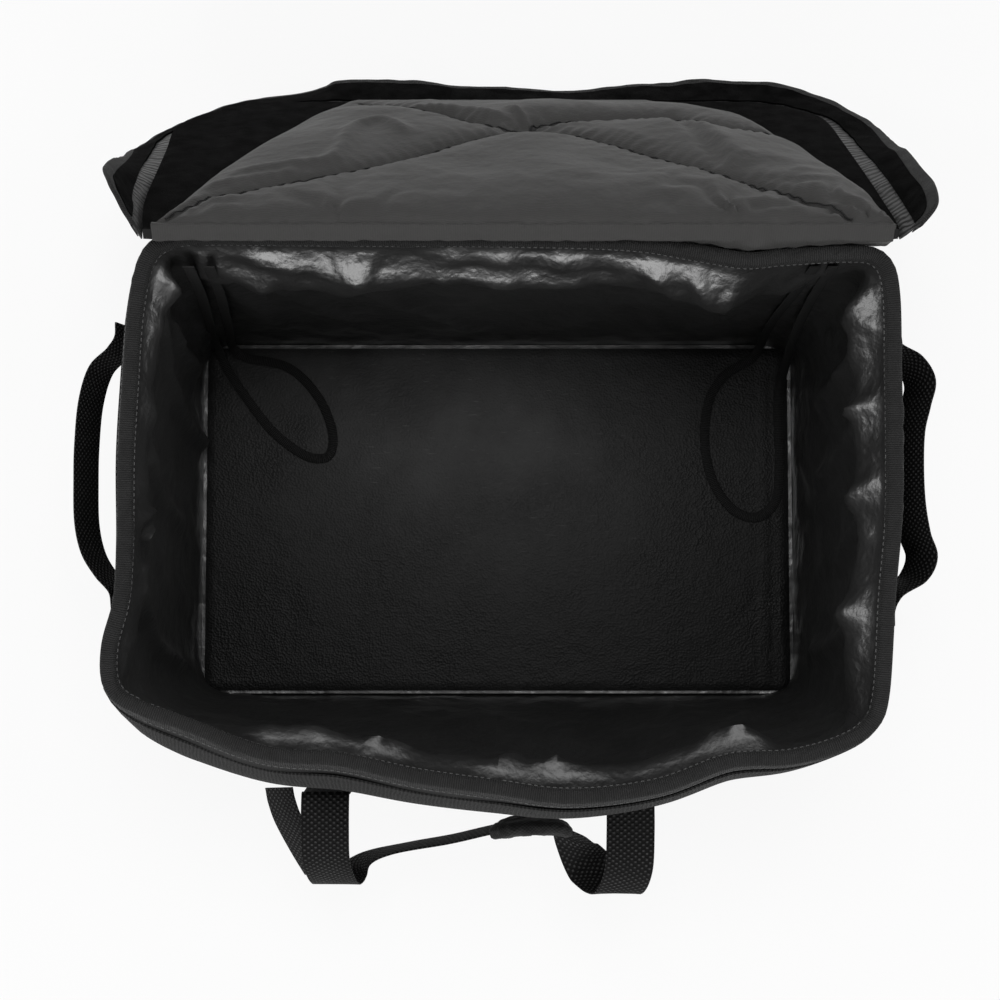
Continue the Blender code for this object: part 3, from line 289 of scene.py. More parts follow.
# Handles: places along each one, and the share by which the webbing is turned on edge
LEFT_HANDLE = (
    (-0.3105, 0.150, 0.252), (-0.3110, 0.138, 0.252), (-0.3180, 0.127, 0.252), (-0.3320, 0.112, 0.252),
    (-0.3400, 0.085, 0.251), (-0.3430, 0.050, 0.250), (-0.3435, 0.020, 0.249), (-0.3420, -0.015, 0.250),
    (-0.3360, -0.040, 0.251), (-0.3250, -0.058, 0.252), (-0.3130, -0.072, 0.252), (-0.3105, -0.084, 0.252),
    (-0.3100, -0.098, 0.252))
RIGHT_HANDLE = (
    (0.3190, 0.152, 0.252), (0.3200, 0.141, 0.252), (0.3290, 0.130, 0.252), (0.3450, 0.119, 0.252),
    (0.3540, 0.102, 0.252), (0.3500, 0.082, 0.251), (0.3450, 0.060, 0.250), (0.3435, 0.030, 0.250),
    (0.3445, 0.000, 0.250), (0.3480, -0.025, 0.251), (0.3530, -0.044, 0.252), (0.3450, -0.061, 0.252),
    (0.3260, -0.074, 0.252), (0.3180, -0.086, 0.252), (0.3170, -0.100, 0.252))
SIDE_TILTS = {"left": 14.0, "right": 24.0}
SIDE_TURN_START, SIDE_TURN_END = 0.3160, 0.3320

FRONT_HANDLE = (
    (-0.1430, -0.2419, 0.2380, 0.00), (-0.1430, -0.2692, 0.2396, 0.00), (-0.1430, -0.2966, 0.2300, 0.00),
    (-0.1405, -0.3166, 0.2060, 0.00), (-0.1379, -0.3249, 0.1804, 0.05), (-0.1303, -0.3207, 0.1604, 0.35),
    (-0.1138, -0.3083, 0.1532, 0.75), (-0.0846, -0.2983, 0.1596, 1.00), (-0.0414, -0.2875, 0.1788, 1.00),
    (-0.0008, -0.2751, 0.2020, 1.00), (0.0246, -0.2701, 0.2140, 1.00), (0.0462, -0.2701, 0.2140, 1.00),
    (0.0615, -0.2767, 0.2012, 0.70), (0.0691, -0.2917, 0.1852, 0.25), (0.0805, -0.3116, 0.1788, 0.00),
    (0.0932, -0.3249, 0.1940, 0.00), (0.1034, -0.3249, 0.2156, 0.00), (0.1097, -0.3033, 0.2348, 0.00),
    (0.1110, -0.2717, 0.2396, 0.00), (0.1110, -0.2419, 0.2380, 0.00))
FRONT_RETURN = ((-0.1870, -0.2400, 0.2020), (-0.1845, -0.2520, 0.2015), (-0.1787, -0.2680, 0.2000),
                (-0.1660, -0.2950, 0.1900), (-0.1540, -0.3180, 0.1800))
FRONT_RETURN_ACROSS = (0.66, 0.22, 0.72)
FRONT_TAB_FOOT, FRONT_TAB_SLOPE_SHARE, FRONT_TAB_ROWS = 0.188, 0.06, 4
TAB_STAND = 0.0012
FRONT_TURN_START, FRONT_TURN_END = -0.2460, -0.2640
WRAP = ((-0.0020, -0.2755, 0.2010), (0.0120, -0.2722, 0.2085), (0.0246, -0.2701, 0.2140),
        (0.0462, -0.2701, 0.2140), (0.0570, -0.2730, 0.2070))
WRAP_THICK, WRAP_TALL, WRAP_SIDES, WRAP_STEP = 0.0072, 0.0232, 40, 0.0015
WRAP_CREASE = (0.011, 0.0014, 15)
WRAP_END_POWER, WRAP_END_LEAST_SHARE, WRAP_OUT_POWER, WRAP_TALL_POWER = 6, 0.05, 0.6, 0.8

BACK_HANDLE = (
    (0.1200, 0.2900), (0.1200, 0.2960), (0.1190, 0.2900), (0.1170, 0.2700), (0.1120, 0.2450),
    (0.1000, 0.2180), (0.0780, 0.1980), (0.0400, 0.1840), (0.0000, 0.1800))
BACK_STAND = (0.0014, 0.0045, 0.0075, 0.0100, 0.0115, 0.0125, 0.0130, 0.0132, 0.0132)
BACK_TAB_FOOT, BACK_TAB_ROWS = 0.240, 3
BACK_TURN_START, BACK_TURN_END = 0.2110, 0.2170

# Looks: roughness, sheen and specular of each surface, its darkest and lightest grey, its lowest and
# highest roughness, each noise as its size and detail, ramps, pitches, and the heights of relief
LINER_SURFACE, LINER_GREYS, LINER_ROUGH = (0.34, 0.0, 0.9), (0.011, 0.040), (0.25, 0.42)
LINER_CRUMPLES, LINER_HEIGHTS = ((0.050, 3.0), (0.020, 4.0), (0.005, 2.0)), (0.0050, 0.0014, 0.0002)
LINER_WEAR, LINER_WEAR_SHARE = (0.060, 4.0), 0.4
DUST, DUST_RAMP, DUST_SHARE = (0.0028, 2.0), (0.70, 0.78), 0.35
OUTER_SURFACE, OUTER_GREYS, OUTER_ROUGH = (0.75, 0.02, 0.10), (0.005, 0.026), (0.65, 0.85)
OUTER_PITCH, OUTER_PATCH, OUTER_LEAST_SHARE = 0.0011, (0.030, 3.0), 0.35
OUTER_DENTS, OUTER_HEIGHTS = (0.012, 2.0), (0.0004, 0.0015)
BINDING_SURFACE, BINDING_GREYS = (0.75, 0.03, 0.15), (0.003, 0.027)
BINDING_RIB, BINDING_RIB_SHARE, BINDING_BASE_SHARE = 0.0017, 0.7, 0.15
BINDING_PATCH, BINDING_LEAST_SHARE = (0.012, 3.0), 0.4
BINDING_DENTS, BINDING_HEIGHTS = (0.005, 3.0), (0.0005, 0.0018)
HOOK_SURFACE, HOOK_GREYS = (0.80, 0.02, 0.15), (0.005, 0.026)
HOOK_RIB, HOOK_ROW, HOOK_LEAST_SHARE = 0.0031, 0.0016, 0.2
HOOK_SWAY, HOOK_SWAY_REACH = (0.010, 2.0), 0.004
HOOK_DENTS, HOOK_HEIGHTS = (0.018, 3.0), (0.0008, 0.0003, 0.0020)
PILE_SURFACE, PILE_GREYS, PILE_HEIGHTS = (0.95, 0.0, 0.02), (0.0015, 0.014), (0.0014, 0.0008)
PILE_HAIRS, PILE_PATCH, PILE_PATCH_RAMP = (0.0011, 4.0), (0.016, 4.0), (0.35, 0.75)
WEBBING_SURFACE, WEBBING_GREYS = (0.70, 0.0, 0.08), (0.003, 0.050)
# The webbing's threads: their pitches, and the shares of the weave at which their painted highlights start
# and are full
WEBBING_PITCHES, WEBBING_HIGHLIGHT_RAMP = (0.0024, 0.0031), (0.62, 0.98)
WEBBING_PATCH, WEBBING_LEAST_SHARE = (0.020, 3.0), 0.45
WEBBING_FIBRES, WEBBING_HEIGHTS = (0.0010, 2.0), (0.0009, 0.0002)
TAPE_SURFACE, TAPE_GREYS, TAPE_RIB, TAPE_HEIGHTS = (0.70, 0.0, 0.12), (0.004, 0.022), 0.0017, (0.0004,)
QUILT_SURFACE, QUILT_GREYS, QUILT_ROUGH = (0.62, 0.04, 0.2), (0.024, 0.044), (0.52, 0.72)
QUILT_WARMTH, QUILT_THREAD, QUILT_THREAD_SHARE = 0.02, 0.0018, 0.25
QUILT_PATCH, QUILT_PATCH_SHARE = (0.035, 4.0), 0.75
QUILT_DENTS, QUILT_HEIGHTS = (0.010, 4.0), (0.0012, 0.0001)
SKIRT_SURFACE, SKIRT_GREYS, SKIRT_HEIGHTS = (0.55, 0.03, 0.25), (0.012, 0.052), (0.0012, 0.0012)
SKIRT_GATHERS, SKIRT_STREAK = (0.005, 3.0), 0.0085
SKIRT_SWAY, SKIRT_SWAY_REACH = (0.02, 2.0), 0.02
VINYL_SURFACE, VINYL_GREYS, VINYL_ROUGH = (0.40, 0.0, 0.10), (0.002, 0.210), (0.34, 0.56)
VINYL_PATCH, VINYL_PATCH_SHARE, VINYL_GRAIN = (0.080, 5.0), 0.60, 0.0022
VINYL_DENTS, VINYL_HEIGHTS = (0.030, 3.0), (0.0005, 0.0022)
SCUFFS, SCUFF_STRETCH, SCUFF_RAMP, SCUFF_SHARE = (0.0016, 3.0), (9.0, 1.0, 1.0), (0.66, 0.74), 0.30
WRAP_SURFACE, WRAP_GREYS, WRAP_HEIGHTS = (0.75, 0.03, 0.15), (0.005, 0.030), (0.0018, 0.0003)
WRAP_PITCH, WRAP_PATCH, WRAP_LEAST_SHARE = 0.0012, (0.006, 3.0), 0.3
THREAD_SURFACE, THREAD_GREYS, THREAD_PATCH = (0.6, 0.0, 0.5), (0.05, 0.13), (0.002, 2.0)

# Floor and light: each lamp's name, place, size and power
FLOOR_SURFACE, FLOOR_GREYS, FLOOR_PATCH = (0.9, 0.0, 0.5), (0.88, 0.92), (0.2, 2.0)
FLOOR_SIZE, FLOOR_DROP, FLOOR_WHITE_SHARE = 8.0, 0.0006, 0.85
WHITE = (1.0, 1.0, 1.0, 1.0)
WORLD_LIGHT = 0.20
LAMPS = (("front", (-0.3, -2.5, 1.35), 1.6, 44.0), ("back", (0.2, 2.3, 1.9), 1.6, 12.0),
         ("left", (-2.3, 0.2, 1.0), 1.2, 18.0), ("right", (2.3, 0.0, 1.0), 1.2, 19.0),
         ("top", (0.03, 0.38, 1.90), 0.6, 9.0))
LAMP_TARGET = (0.0, 0.0, 0.15)


# Shapes

def smooth_path(points, cuts, closed=False):
    """A Catmull-Rom curve through points of any dimension, with cuts steps between each two."""
    points = np.array(points, float)
    if closed:
        points = np.vstack([points[-1:], points, points[:2]])
    else:
        points = np.vstack([2 * points[:1] - points[1:2], points, 2 * points[-1:] - points[-2:-1]])
    path = []
    for i in range(1, len(points) - 2):
        a, b, c, d = points[i - 1:i + 3]
        for step in range(cuts):
            t = step / cuts
            path.append(0.5 * (2 * b + (c - a) * t + (2 * a - 5 * b + 4 * c - d) * t ** 2
                               + (3 * b - a - 3 * c + d) * t ** 3))
    if not closed:
        path.append(points[-2])
    return np.array(path)


def run_lengths(path):
    """The length of a path up to each of its places."""
    return np.concatenate([[0.0], np.cumsum(np.linalg.norm(np.diff(path, axis=0), axis=1))])


def places_at(path, along, wanted):
    """A path's places at the wanted lengths, given the length up to each of its own."""
    return np.array([np.interp(wanted, along, column) for column in path.T]).T


def resample(path, step):
    """The same curve at even steps, measured in plan."""
    along = run_lengths(path[:, :2])
    return places_at(path, along, np.linspace(0.0, along[-1], int(along[-1] / step) + 1))


def unit(vectors):
    return vectors / np.maximum(np.linalg.norm(vectors, axis=-1, keepdims=True), NO_LENGTH)


def grid_normals(grid):
    return unit(np.cross(np.gradient(grid, axis=0), np.gradient(grid, axis=1)))


def grid_lengths(grid):
    """Real lengths along the cloth at each place of a grid, for the weave."""
    down = np.linalg.norm(np.diff(grid, axis=0), axis=2).mean(1)
    across = np.linalg.norm(np.diff(grid, axis=1), axis=2).mean(0)
    u = np.concatenate([[0.0], np.cumsum(down)])
    v = np.concatenate([[0.0], np.cumsum(across)])
    return np.stack(np.meshgrid(u, v, indexing="ij"), axis=-1)


def add_mesh(name, verts, faces, look, uvs=None):
    mesh = bpy.data.meshes.new(name)
    mesh.from_pydata([tuple(p) for p in verts], [], faces)
    if uvs is not None:
        layer = mesh.uv_layers.new(name="cloth")
        corners = np.zeros(len(mesh.loops), int)
        mesh.loops.foreach_get("vertex_index", corners)
        layer.data.foreach_set("uv", np.asarray(uvs, np.float32)[corners].ravel())
    mesh.materials.append(MATERIALS[look])
    faced = bmesh.new()
    faced.from_mesh(mesh)
    bmesh.ops.recalc_face_normals(faced, faces=faced.faces)
    faced.to_mesh(mesh)
    faced.free()
    mesh.shade_smooth()
    mesh.set_sharp_from_angle(angle=math.radians(SHARP_DEGREES))
    thing = bpy.data.objects.new(name, mesh)
    bpy.context.scene.collection.objects.link(thing)
    return thing


def grid_faces(rows, columns, start=0, flip=False):
    faces = []
    for i in range(rows - 1):
        for j in range(columns - 1):
            a = start + i * columns + j
            face = (a, a + 1, a + columns + 1, a + columns)
            faces.append(face[::-1] if flip else face)
    return faces


def rim_faces(rows, columns, start):
    """Joins the border of one grid to the border of the next."""
    border = list(range(columns)) + [i * columns + columns - 1 for i in range(1, rows)]
    border += [(rows - 1) * columns + j for j in range(columns - 2, -1, -1)]
    border += [i * columns for i in range(rows - 2, 0, -1)]
    faces = []
    for a, b in zip(border, border[1:] + border[:1]):
        faces.append((b, a, start + a, start + b))
    return faces


def cloth_slab(name, near, far, look):
    """A closed piece of cloth between two grids of the same size."""
    rows, columns = near.shape[:2]
    count = rows * columns
    verts = np.vstack([near.reshape(-1, 3), far.reshape(-1, 3)])
    uvs = grid_lengths(near).reshape(-1, 2)
    faces = grid_faces(rows, columns) + grid_faces(rows, columns, count, flip=True)
    faces += rim_faces(rows, columns, count)
    return add_mesh(name, verts, faces, look, np.vstack([uvs, uvs]))


def ribbon(name, path, across, width, thick, look):
    """Webbing or tape of a flat cross section along a path."""
    along = unit(np.gradient(path, axis=0))
    across = unit(across - along * (across * along).sum(1, keepdims=True))
    facing = np.cross(along, across)
    half, side = thick / 2, width / 2
    bevel = thick * RIBBON_BEVEL_SHARE
    profile = ((-side + bevel, -half), (side - bevel, -half), (side, -half + bevel), (side, half - bevel),
               (side - bevel, half), (-side + bevel, half), (-side, half - bevel), (-side, -half + bevel))
    rings = [path + across * a + facing * b for a, b in profile]
    rings.append(rings[0])
    grid = np.stack(rings, axis=1)
    rows, columns = grid.shape[:2]
    wide = np.array([a for a, b in profile] + [profile[0][0]])
    uvs = np.stack(np.meshgrid(run_lengths(path), wide, indexing="ij"), axis=-1).reshape(-1, 2)
    faces = grid_faces(rows, columns)
    faces.append(tuple(range(columns - 2, -1, -1)))
    faces.append(tuple((rows - 1) * columns + j for j in range(columns - 1)))
    return add_mesh(name, grid.reshape(-1, 3), faces, look, uvs)


def seam_places(u, v, line):
    """Distance from a line, and the length along it, for each place of a flat grid."""
    nearest = np.full(u.shape, np.inf)
    along = np.zeros(u.shape)
    run = 0.0
    for (a, b), (c, d) in zip(line, line[1:]):
        length = math.hypot(c - a, d - b)
        share = np.clip(((u - a) * (c - a) + (v - b) * (d - b)) / length ** 2, 0.0, 1.0)
        distance = np.hypot(u - a - share * (c - a), v - b - share * (d - b))
        closer = distance < nearest
        along = np.where(closer, run + share * length, along)
        nearest = np.where(closer, distance, nearest)
        run += length
    return nearest, along


def crease(points, size, height, seed, stretch=(1.0, 1.0, 1.0)):
    """Creased noise, from -height to height, with sharp ridges as in crumpled film."""
    shift = Vector([seed * step for step in CREASE_SHIFTS])
    scale = [1.0 / (size * s) for s in stretch]
    values = []
    for x, y, z in points.reshape(-1, 3):
        place = Vector((x * scale[0], y * scale[1], z * scale[2])) + shift
        total, weight, amount = 0.0, 1.0, 0.0
        for _ in range(CREASE_OCTAVES):
            total += weight * (1.0 - 2.0 * min(abs(noise.noise(place)) * CREASE_SHARPNESS, 1.0))
            amount += weight
            place = place * OCTAVE_SCALE + shift
            weight *= OCTAVE_SHARE
        values.append(total / amount)
    return np.array(values).reshape(points.shape[:-1]) * height


def swell(points, size, height, seed):
    """Smooth noise, from -height to height."""
    shift = Vector([seed * step for step in SWELL_SHIFTS])
    values = [noise.noise(Vector(p) / size + shift) for p in points.reshape(-1, 3)]
    return np.array(values).reshape(points.shape[:-1]) * height


# Materials

class Look:
    """One cloth, tape or plate: patterns over its own length and width, or over the object's space."""

    def __init__(self, name, roughness, sheen, specular):
        self.material = bpy.data.materials.new(name)
        self.material.use_nodes = True
        self.tree = self.material.node_tree
        self.shader = self.tree.nodes["Principled BSDF"]
        self.shader.inputs["Roughness"].default_value = roughness
        self.shader.inputs["Sheen Weight"].default_value = sheen
        self.shader.inputs["Specular IOR Level"].default_value = specular
        self.places = self.node("ShaderNodeTexCoord")
        parts = self.node("ShaderNodeSeparateXYZ")
        self.link(self.places.outputs["UV"], parts.inputs[0])
        self.long, self.wide = parts.outputs["X"], parts.outputs["Y"]

    def node(self, kind, **values):
        node = self.tree.nodes.new(kind)
        for key, value in values.items():
            setattr(node, key, value)
        return node

    def link(self, source, target):
        if isinstance(source, (int, float)):
            target.default_value = source
        else:
            self.tree.links.new(source, target)

    def math(self, operation, a, b=0.0):
        node = self.node("ShaderNodeMath", operation=operation)
        self.link(a, node.inputs[0])
        self.link(b, node.inputs[1])
        return node.outputs[0]

    def times(self, a, b):
        return self.math("MULTIPLY", a, b)

    def plus(self, a, b):
        return self.math("ADD", a, b)

    def wave(self, place, pitch):
        """From 0 to 1 and back over each pitch."""
        return self.half(self.math("SINE", self.times(place, 2 * math.pi / pitch)))

    def half(self, value):
        """From 0 to 1, of a value from -1 to 1."""
        return self.plus(self.times(value, 0.5), 0.5)

    def spread(self, sizes, kind, **inputs):
        """A texture over the object's space, whose features have those sizes along its axes."""
        spread = self.node("ShaderNodeMapping")
        spread.inputs["Scale"].default_value = [1 / size for size in sizes]
        self.link(self.places.outputs["Object"], spread.inputs["Vector"])
        texture = self.node(kind)
        texture.inputs["Scale"].default_value = 1.0
        for key, value in inputs.items():
            texture.inputs[key].default_value = value
        self.link(spread.outputs[0], texture.inputs["Vector"])
        return texture

    def noise(self, size, detail, stretch=(1.0, 1.0, 1.0)):
        """Noise with features of that size, longer along an axis that is stretched."""
        return self.spread([size * s for s in stretch], "ShaderNodeTexNoise", Detail=detail).outputs["Fac"]

    def cells(self, size):
        """Distance to the nearest of scattered points, as in grained leather."""
        return self.spread([size] * 3, "ShaderNodeTexVoronoi").outputs["Distance"]

    def spot(self, place, reach):
        """1 at a place seen from above, and less the further it is from there."""
        parts = self.node("ShaderNodeSeparateXYZ")
        self.link(self.places.outputs["Object"], parts.inputs[0])
        squares = []
        for axis in range(2):
            offset = self.times(self.math("SUBTRACT", parts.outputs[axis], place[axis]), 1 / reach[axis])
            squares.append(self.times(offset, offset))
        return self.math("POWER", self.plus(1.0, self.plus(*squares)), -2.0)

    def ramp(self, value, low, high):
        """0 below low, 1 above high."""
        node = self.node("ShaderNodeMapRange")
        self.link(value, node.inputs["Value"])
        node.inputs["From Min"].default_value = low
        node.inputs["From Max"].default_value = high
        return node.outputs[0]

    def colour(self, share, greys, warmth=0.0):
        """From the first grey to the second by that share, both warmer than neutral by that warmth."""
        mixer = self.node("ShaderNodeMix", data_type="RGBA")
        self.link(share, mixer.inputs["Factor"])
        for name, value in zip("AB", greys):
            mixer.inputs[name].default_value = (value * (1 + warmth), value, value * (1 - warmth), 1.0)
        self.link(mixer.outputs["Result"], self.shader.inputs["Base Color"])

    def rough(self, share, low, high):
        value = self.plus(self.times(share, high - low), low)
        self.link(value, self.shader.inputs["Roughness"])

    def bump(self, patterns, heights):
        """Raises the surface by several patterns, each with its height in metres."""
        before = None
        for value, height in zip(patterns, heights):
            node = self.node("ShaderNodeBump")
            node.inputs["Distance"].default_value = height
            self.link(value, node.inputs["Height"])
            if before is not None:
                self.link(before, node.inputs["Normal"])
            before = node.outputs[0]
        self.link(before, self.shader.inputs["Normal"])

    def weave(self, pitch_long, pitch_wide):
        """Threads over and under one another, staggered like bricks."""
        a = self.math("SINE", self.times(self.long, math.pi / pitch_long))
        b = self.math("SINE", self.times(self.wide, math.pi / pitch_wide))
        return self.half(self.times(a, b))


def liner_look():
    look = Look("liner_film", *LINER_SURFACE)
    dust = look.ramp(look.noise(*DUST), *DUST_RAMP)
    wear = look.noise(*LINER_WEAR)
    look.colour(look.plus(look.times(dust, DUST_SHARE), look.times(wear, LINER_WEAR_SHARE)), LINER_GREYS)
    look.rough(wear, *LINER_ROUGH)
    look.bump([look.noise(*size) for size in LINER_CRUMPLES], LINER_HEIGHTS)
    return look.material


def outer_look():
    look = Look("outer_weave", *OUTER_SURFACE)
    weave = look.weave(OUTER_PITCH, OUTER_PITCH)
    patch = look.noise(*OUTER_PATCH)
    look.colour(look.times(weave, look.plus(patch, OUTER_LEAST_SHARE)), OUTER_GREYS)
    look.rough(patch, *OUTER_ROUGH)
    look.bump((weave, look.noise(*OUTER_DENTS)), OUTER_HEIGHTS)
    return look.material


def binding_look():
    """Grosgrain, with ribs across its length."""
    look = Look("ribbed_binding", *BINDING_SURFACE)
    ribs = look.wave(look.long, BINDING_RIB)
    lit = look.plus(look.times(ribs, BINDING_RIB_SHARE), BINDING_BASE_SHARE)
    patch = look.noise(*BINDING_PATCH)
    look.colour(look.times(lit, look.plus(patch, BINDING_LEAST_SHARE)), BINDING_GREYS)
    look.bump((ribs, look.noise(*BINDING_DENTS)), BINDING_HEIGHTS)
    return look.material


def hook_look():
    look = Look("hook_tape", *HOOK_SURFACE)
    sway = look.plus(look.long, look.times(look.noise(*HOOK_SWAY), HOOK_SWAY_REACH))
    ribs = look.wave(sway, HOOK_RIB)
    rows = look.wave(look.wide, HOOK_ROW)
    look.colour(look.times(ribs, look.plus(rows, HOOK_LEAST_SHARE)), HOOK_GREYS)
    look.bump((ribs, rows, look.noise(*HOOK_DENTS)), HOOK_HEIGHTS)
    return look.material


def pile_look():
    """Brushed pile, nearly black."""
    look = Look("loop_pile", *PILE_SURFACE)
    pile = look.noise(*PILE_HAIRS)
    patch = look.ramp(look.noise(*PILE_PATCH), *PILE_PATCH_RAMP)
    look.colour(look.times(pile, patch), PILE_GREYS)
    look.bump((pile, patch), PILE_HEIGHTS)
    return look.material


def webbing_look():
    """Staggered rows of raised threads, with painted highlights on their tops."""
    look = Look("webbing_weave", *WEBBING_SURFACE)
    weave = look.weave(*WEBBING_PITCHES)
    # Painted highlights: the tops of the raised threads are coloured lighter, as where light catches them
    thread_highlight = look.ramp(weave, *WEBBING_HIGHLIGHT_RAMP)
    patch = look.noise(*WEBBING_PATCH)
    look.colour(look.times(thread_highlight, look.plus(patch, WEBBING_LEAST_SHARE)), WEBBING_GREYS)
    look.bump((weave, look.noise(*WEBBING_FIBRES)), WEBBING_HEIGHTS)
    return look.material


def tape_look():
    look = Look("narrow_tape", *TAPE_SURFACE)
    ribs = look.wave(look.long, TAPE_RIB)
    look.colour(ribs, TAPE_GREYS)
    look.bump((ribs,), TAPE_HEIGHTS)
    return look.material


def quilt_look():
    """Matte nylon with a soft shine and fine threads across."""
    look = Look("quilted_nylon", *QUILT_SURFACE)
    threads = look.wave(look.long, QUILT_THREAD)
    patch = look.noise(*QUILT_PATCH)
    share = look.plus(look.times(threads, QUILT_THREAD_SHARE), look.times(patch, QUILT_PATCH_SHARE))
    look.colour(share, QUILT_GREYS, QUILT_WARMTH)
    look.rough(patch, *QUILT_ROUGH)
    look.bump((look.noise(*QUILT_DENTS), threads), QUILT_HEIGHTS)
    return look.material


def skirt_look():
    """Smooth cloth with small gathers across it."""
    look = Look("skirt_nylon", *SKIRT_SURFACE)
    gathers = look.noise(*SKIRT_GATHERS)
    sway = look.plus(look.long, look.times(look.noise(*SKIRT_SWAY), SKIRT_SWAY_REACH))
    streaks = look.wave(sway, SKIRT_STREAK)
    look.colour(look.times(streaks, gathers), SKIRT_GREYS)
    look.bump((streaks, gathers), SKIRT_HEIGHTS)
    return look.material


def vinyl_look():
    """Grained vinyl, scuffed where trays have slid over it, with a painted pool of light in the middle and
    back and painted shade towards the walls.
    """
    look = Look("board_vinyl", *VINYL_SURFACE)
    scuffs = look.ramp(look.noise(*SCUFFS, SCUFF_STRETCH), *SCUFF_RAMP)
    patch = look.noise(*VINYL_PATCH)
    dull = look.plus(look.times(scuffs, SCUFF_SHARE), look.times(patch, VINYL_PATCH_SHARE))
    # The grey is multiplied by a painted pool of light, brightest at one place and falling to painted shade
    # towards the walls
    look.colour(look.times(dull, look.spot(BOARD_PAINTED_LIGHT_PLACE, BOARD_PAINTED_LIGHT_REACH)), VINYL_GREYS)
    look.rough(patch, *VINYL_ROUGH)
    look.bump((look.cells(VINYL_GRAIN), look.noise(*VINYL_DENTS)), VINYL_HEIGHTS)
    return look.material


def wrap_look():
    look = Look("gathered_cloth", *WRAP_SURFACE)
    weave = look.weave(WRAP_PITCH, WRAP_PITCH)
    patch = look.noise(*WRAP_PATCH)
    look.colour(look.times(weave, look.plus(patch, WRAP_LEAST_SHARE)), WRAP_GREYS)
    look.bump((patch, weave), WRAP_HEIGHTS)
    return look.material


def thread_look():
    look = Look("stitch_thread", *THREAD_SURFACE)
    look.colour(look.noise(*THREAD_PATCH), THREAD_GREYS)
    return look.material


MATERIALS = {
    "liner": liner_look(), "outer": outer_look(), "binding": binding_look(), "hook": hook_look(),
    "pile": pile_look(), "webbing": webbing_look(), "tape": tape_look(), "quilt": quilt_look(),
    "skirt": skirt_look(), "vinyl": vinyl_look(), "wrap": wrap_look(), "thread": thread_look(),
}


# Walls

def belly(share):
    return np.sin(np.pi * np.clip(share, 0.0, 1.0) ** BELLY_POWER)


class Wall:
    """A stretch of the wall between two of the plan's columns."""

    def __init__(self, first, last):
        count = len(PLAN)
        dense = smooth_path(PLAN, PATH_CUTS, closed=True)
        picks = np.arange(first * PATH_CUTS, last * PATH_CUTS + 1) % (count * PATH_CUTS)
        self.columns = resample(dense[picks], COLUMN_STEP)
        ring = np.vstack([dense[picks[0] - 1], self.columns, dense[(picks[-1] + 1) % len(dense)]])
        tangent = unit(np.gradient(ring[:, :2], axis=0))[1:-1]
        self.outward = np.stack([tangent[:, 1], -tangent[:, 0]], axis=1)
        front = np.clip((FRONT_RIM_START - self.columns[:, 1]) / FRONT_RIM_REACH, 0.0, 1.0)
        self.top = RIM_HEIGHT + (FRONT_RIM_HEIGHT - RIM_HEIGHT) * front

    def at(self, shares, out):
        """Places at heights given as shares, out metres outwards of the liner's face."""
        shares = np.asarray(shares, float)
        columns = self.columns[:, None, :]
        share = shares[None, :, None]
        flat = columns[..., 2:4] + (columns[..., 0:2] - columns[..., 2:4]) * share
        depth = min(max(out / WALL, 0.0), 1.0)
        stand = columns[..., 5] + (columns[..., 4] - columns[..., 5]) * depth
        flat = flat + self.outward[:, None, :] * (stand * belly(shares)[None, :] + out)[..., None]
        height = FOOT + (self.top[:, None] - FOOT) * shares[None, :]
        return np.concatenate([flat, height[..., None]], axis=-1)

    def outward_at(self, grid):
        """The outward direction at each place of a grid."""
        level = np.hstack([self.outward, np.zeros((len(self.outward), 1))])
        return np.broadcast_to(level[:, None], grid.shape)

    def share_below(self, drop):
        return 1.0 - drop / (RIM_HEIGHT - FOOT)


def shares_between(low, high):
    return np.linspace(low, high, int((high - low) * RIM_HEIGHT / ROW_STEP) + 2)


def liner_slack(wall, grid):
    """How far the liner hangs in from the wall: a roll under the rim, folds, and crumples."""
    top = np.clip((wall.top[:, None] - BINDING_DROP - grid[..., 2]) / BINDING_DROP, 0.0, 1.0)
    foot = np.clip(grid[..., 2] / ROLL_CLEAR, 0.0, 1.0)
    slack = np.zeros(grid.shape[:2])
    vary = 1 + swell(grid, *ROLL_VARY)
    facing = wall.outward_at(grid)
    sides = {"front": (0, -facing[..., 1]), "back": (0, facing[..., 1]),
             "left": (1, -facing[..., 0]), "right": (1, facing[..., 0])}
    for side, (axis, share) in sides.items():
        share = np.clip(share * 2 - 1, 0.0, 1.0)
        reach, middle, tall = ROLLS[side]
        offset = (grid[..., 2] - middle) / tall
        shape = np.where(offset < 0, np.exp(-(offset * ROLL_UNDER) ** 2), np.exp(-offset ** 2))
        ends = np.clip((ROLL_ENDS[0] - np.abs(grid[..., 0])) / ROLL_ENDS[1], 0.0, 1.0) if axis == 0 else 1.0
        slack = slack + share * reach * shape * vary * ends
        for line, width, rise in LINER_FOLDS[side]:
            near, along = seam_places(grid[..., axis], grid[..., 2], smooth_path(line, LINE_CUTS))
            taper = np.clip(np.minimum(along, along.max() - along) / FOLD_TAPER, 0.0, 1.0)
            slack = slack + share * FOLD_SHARES[side] * rise * np.exp(-(near / width) ** 2) * taper
    slack = slack + swell(grid, *SLACK_SWELL) + crease(grid, *SLACK_CREASE, stretch=SLACK_STRETCH)
    return np.maximum(slack, -LINER) * top * foot


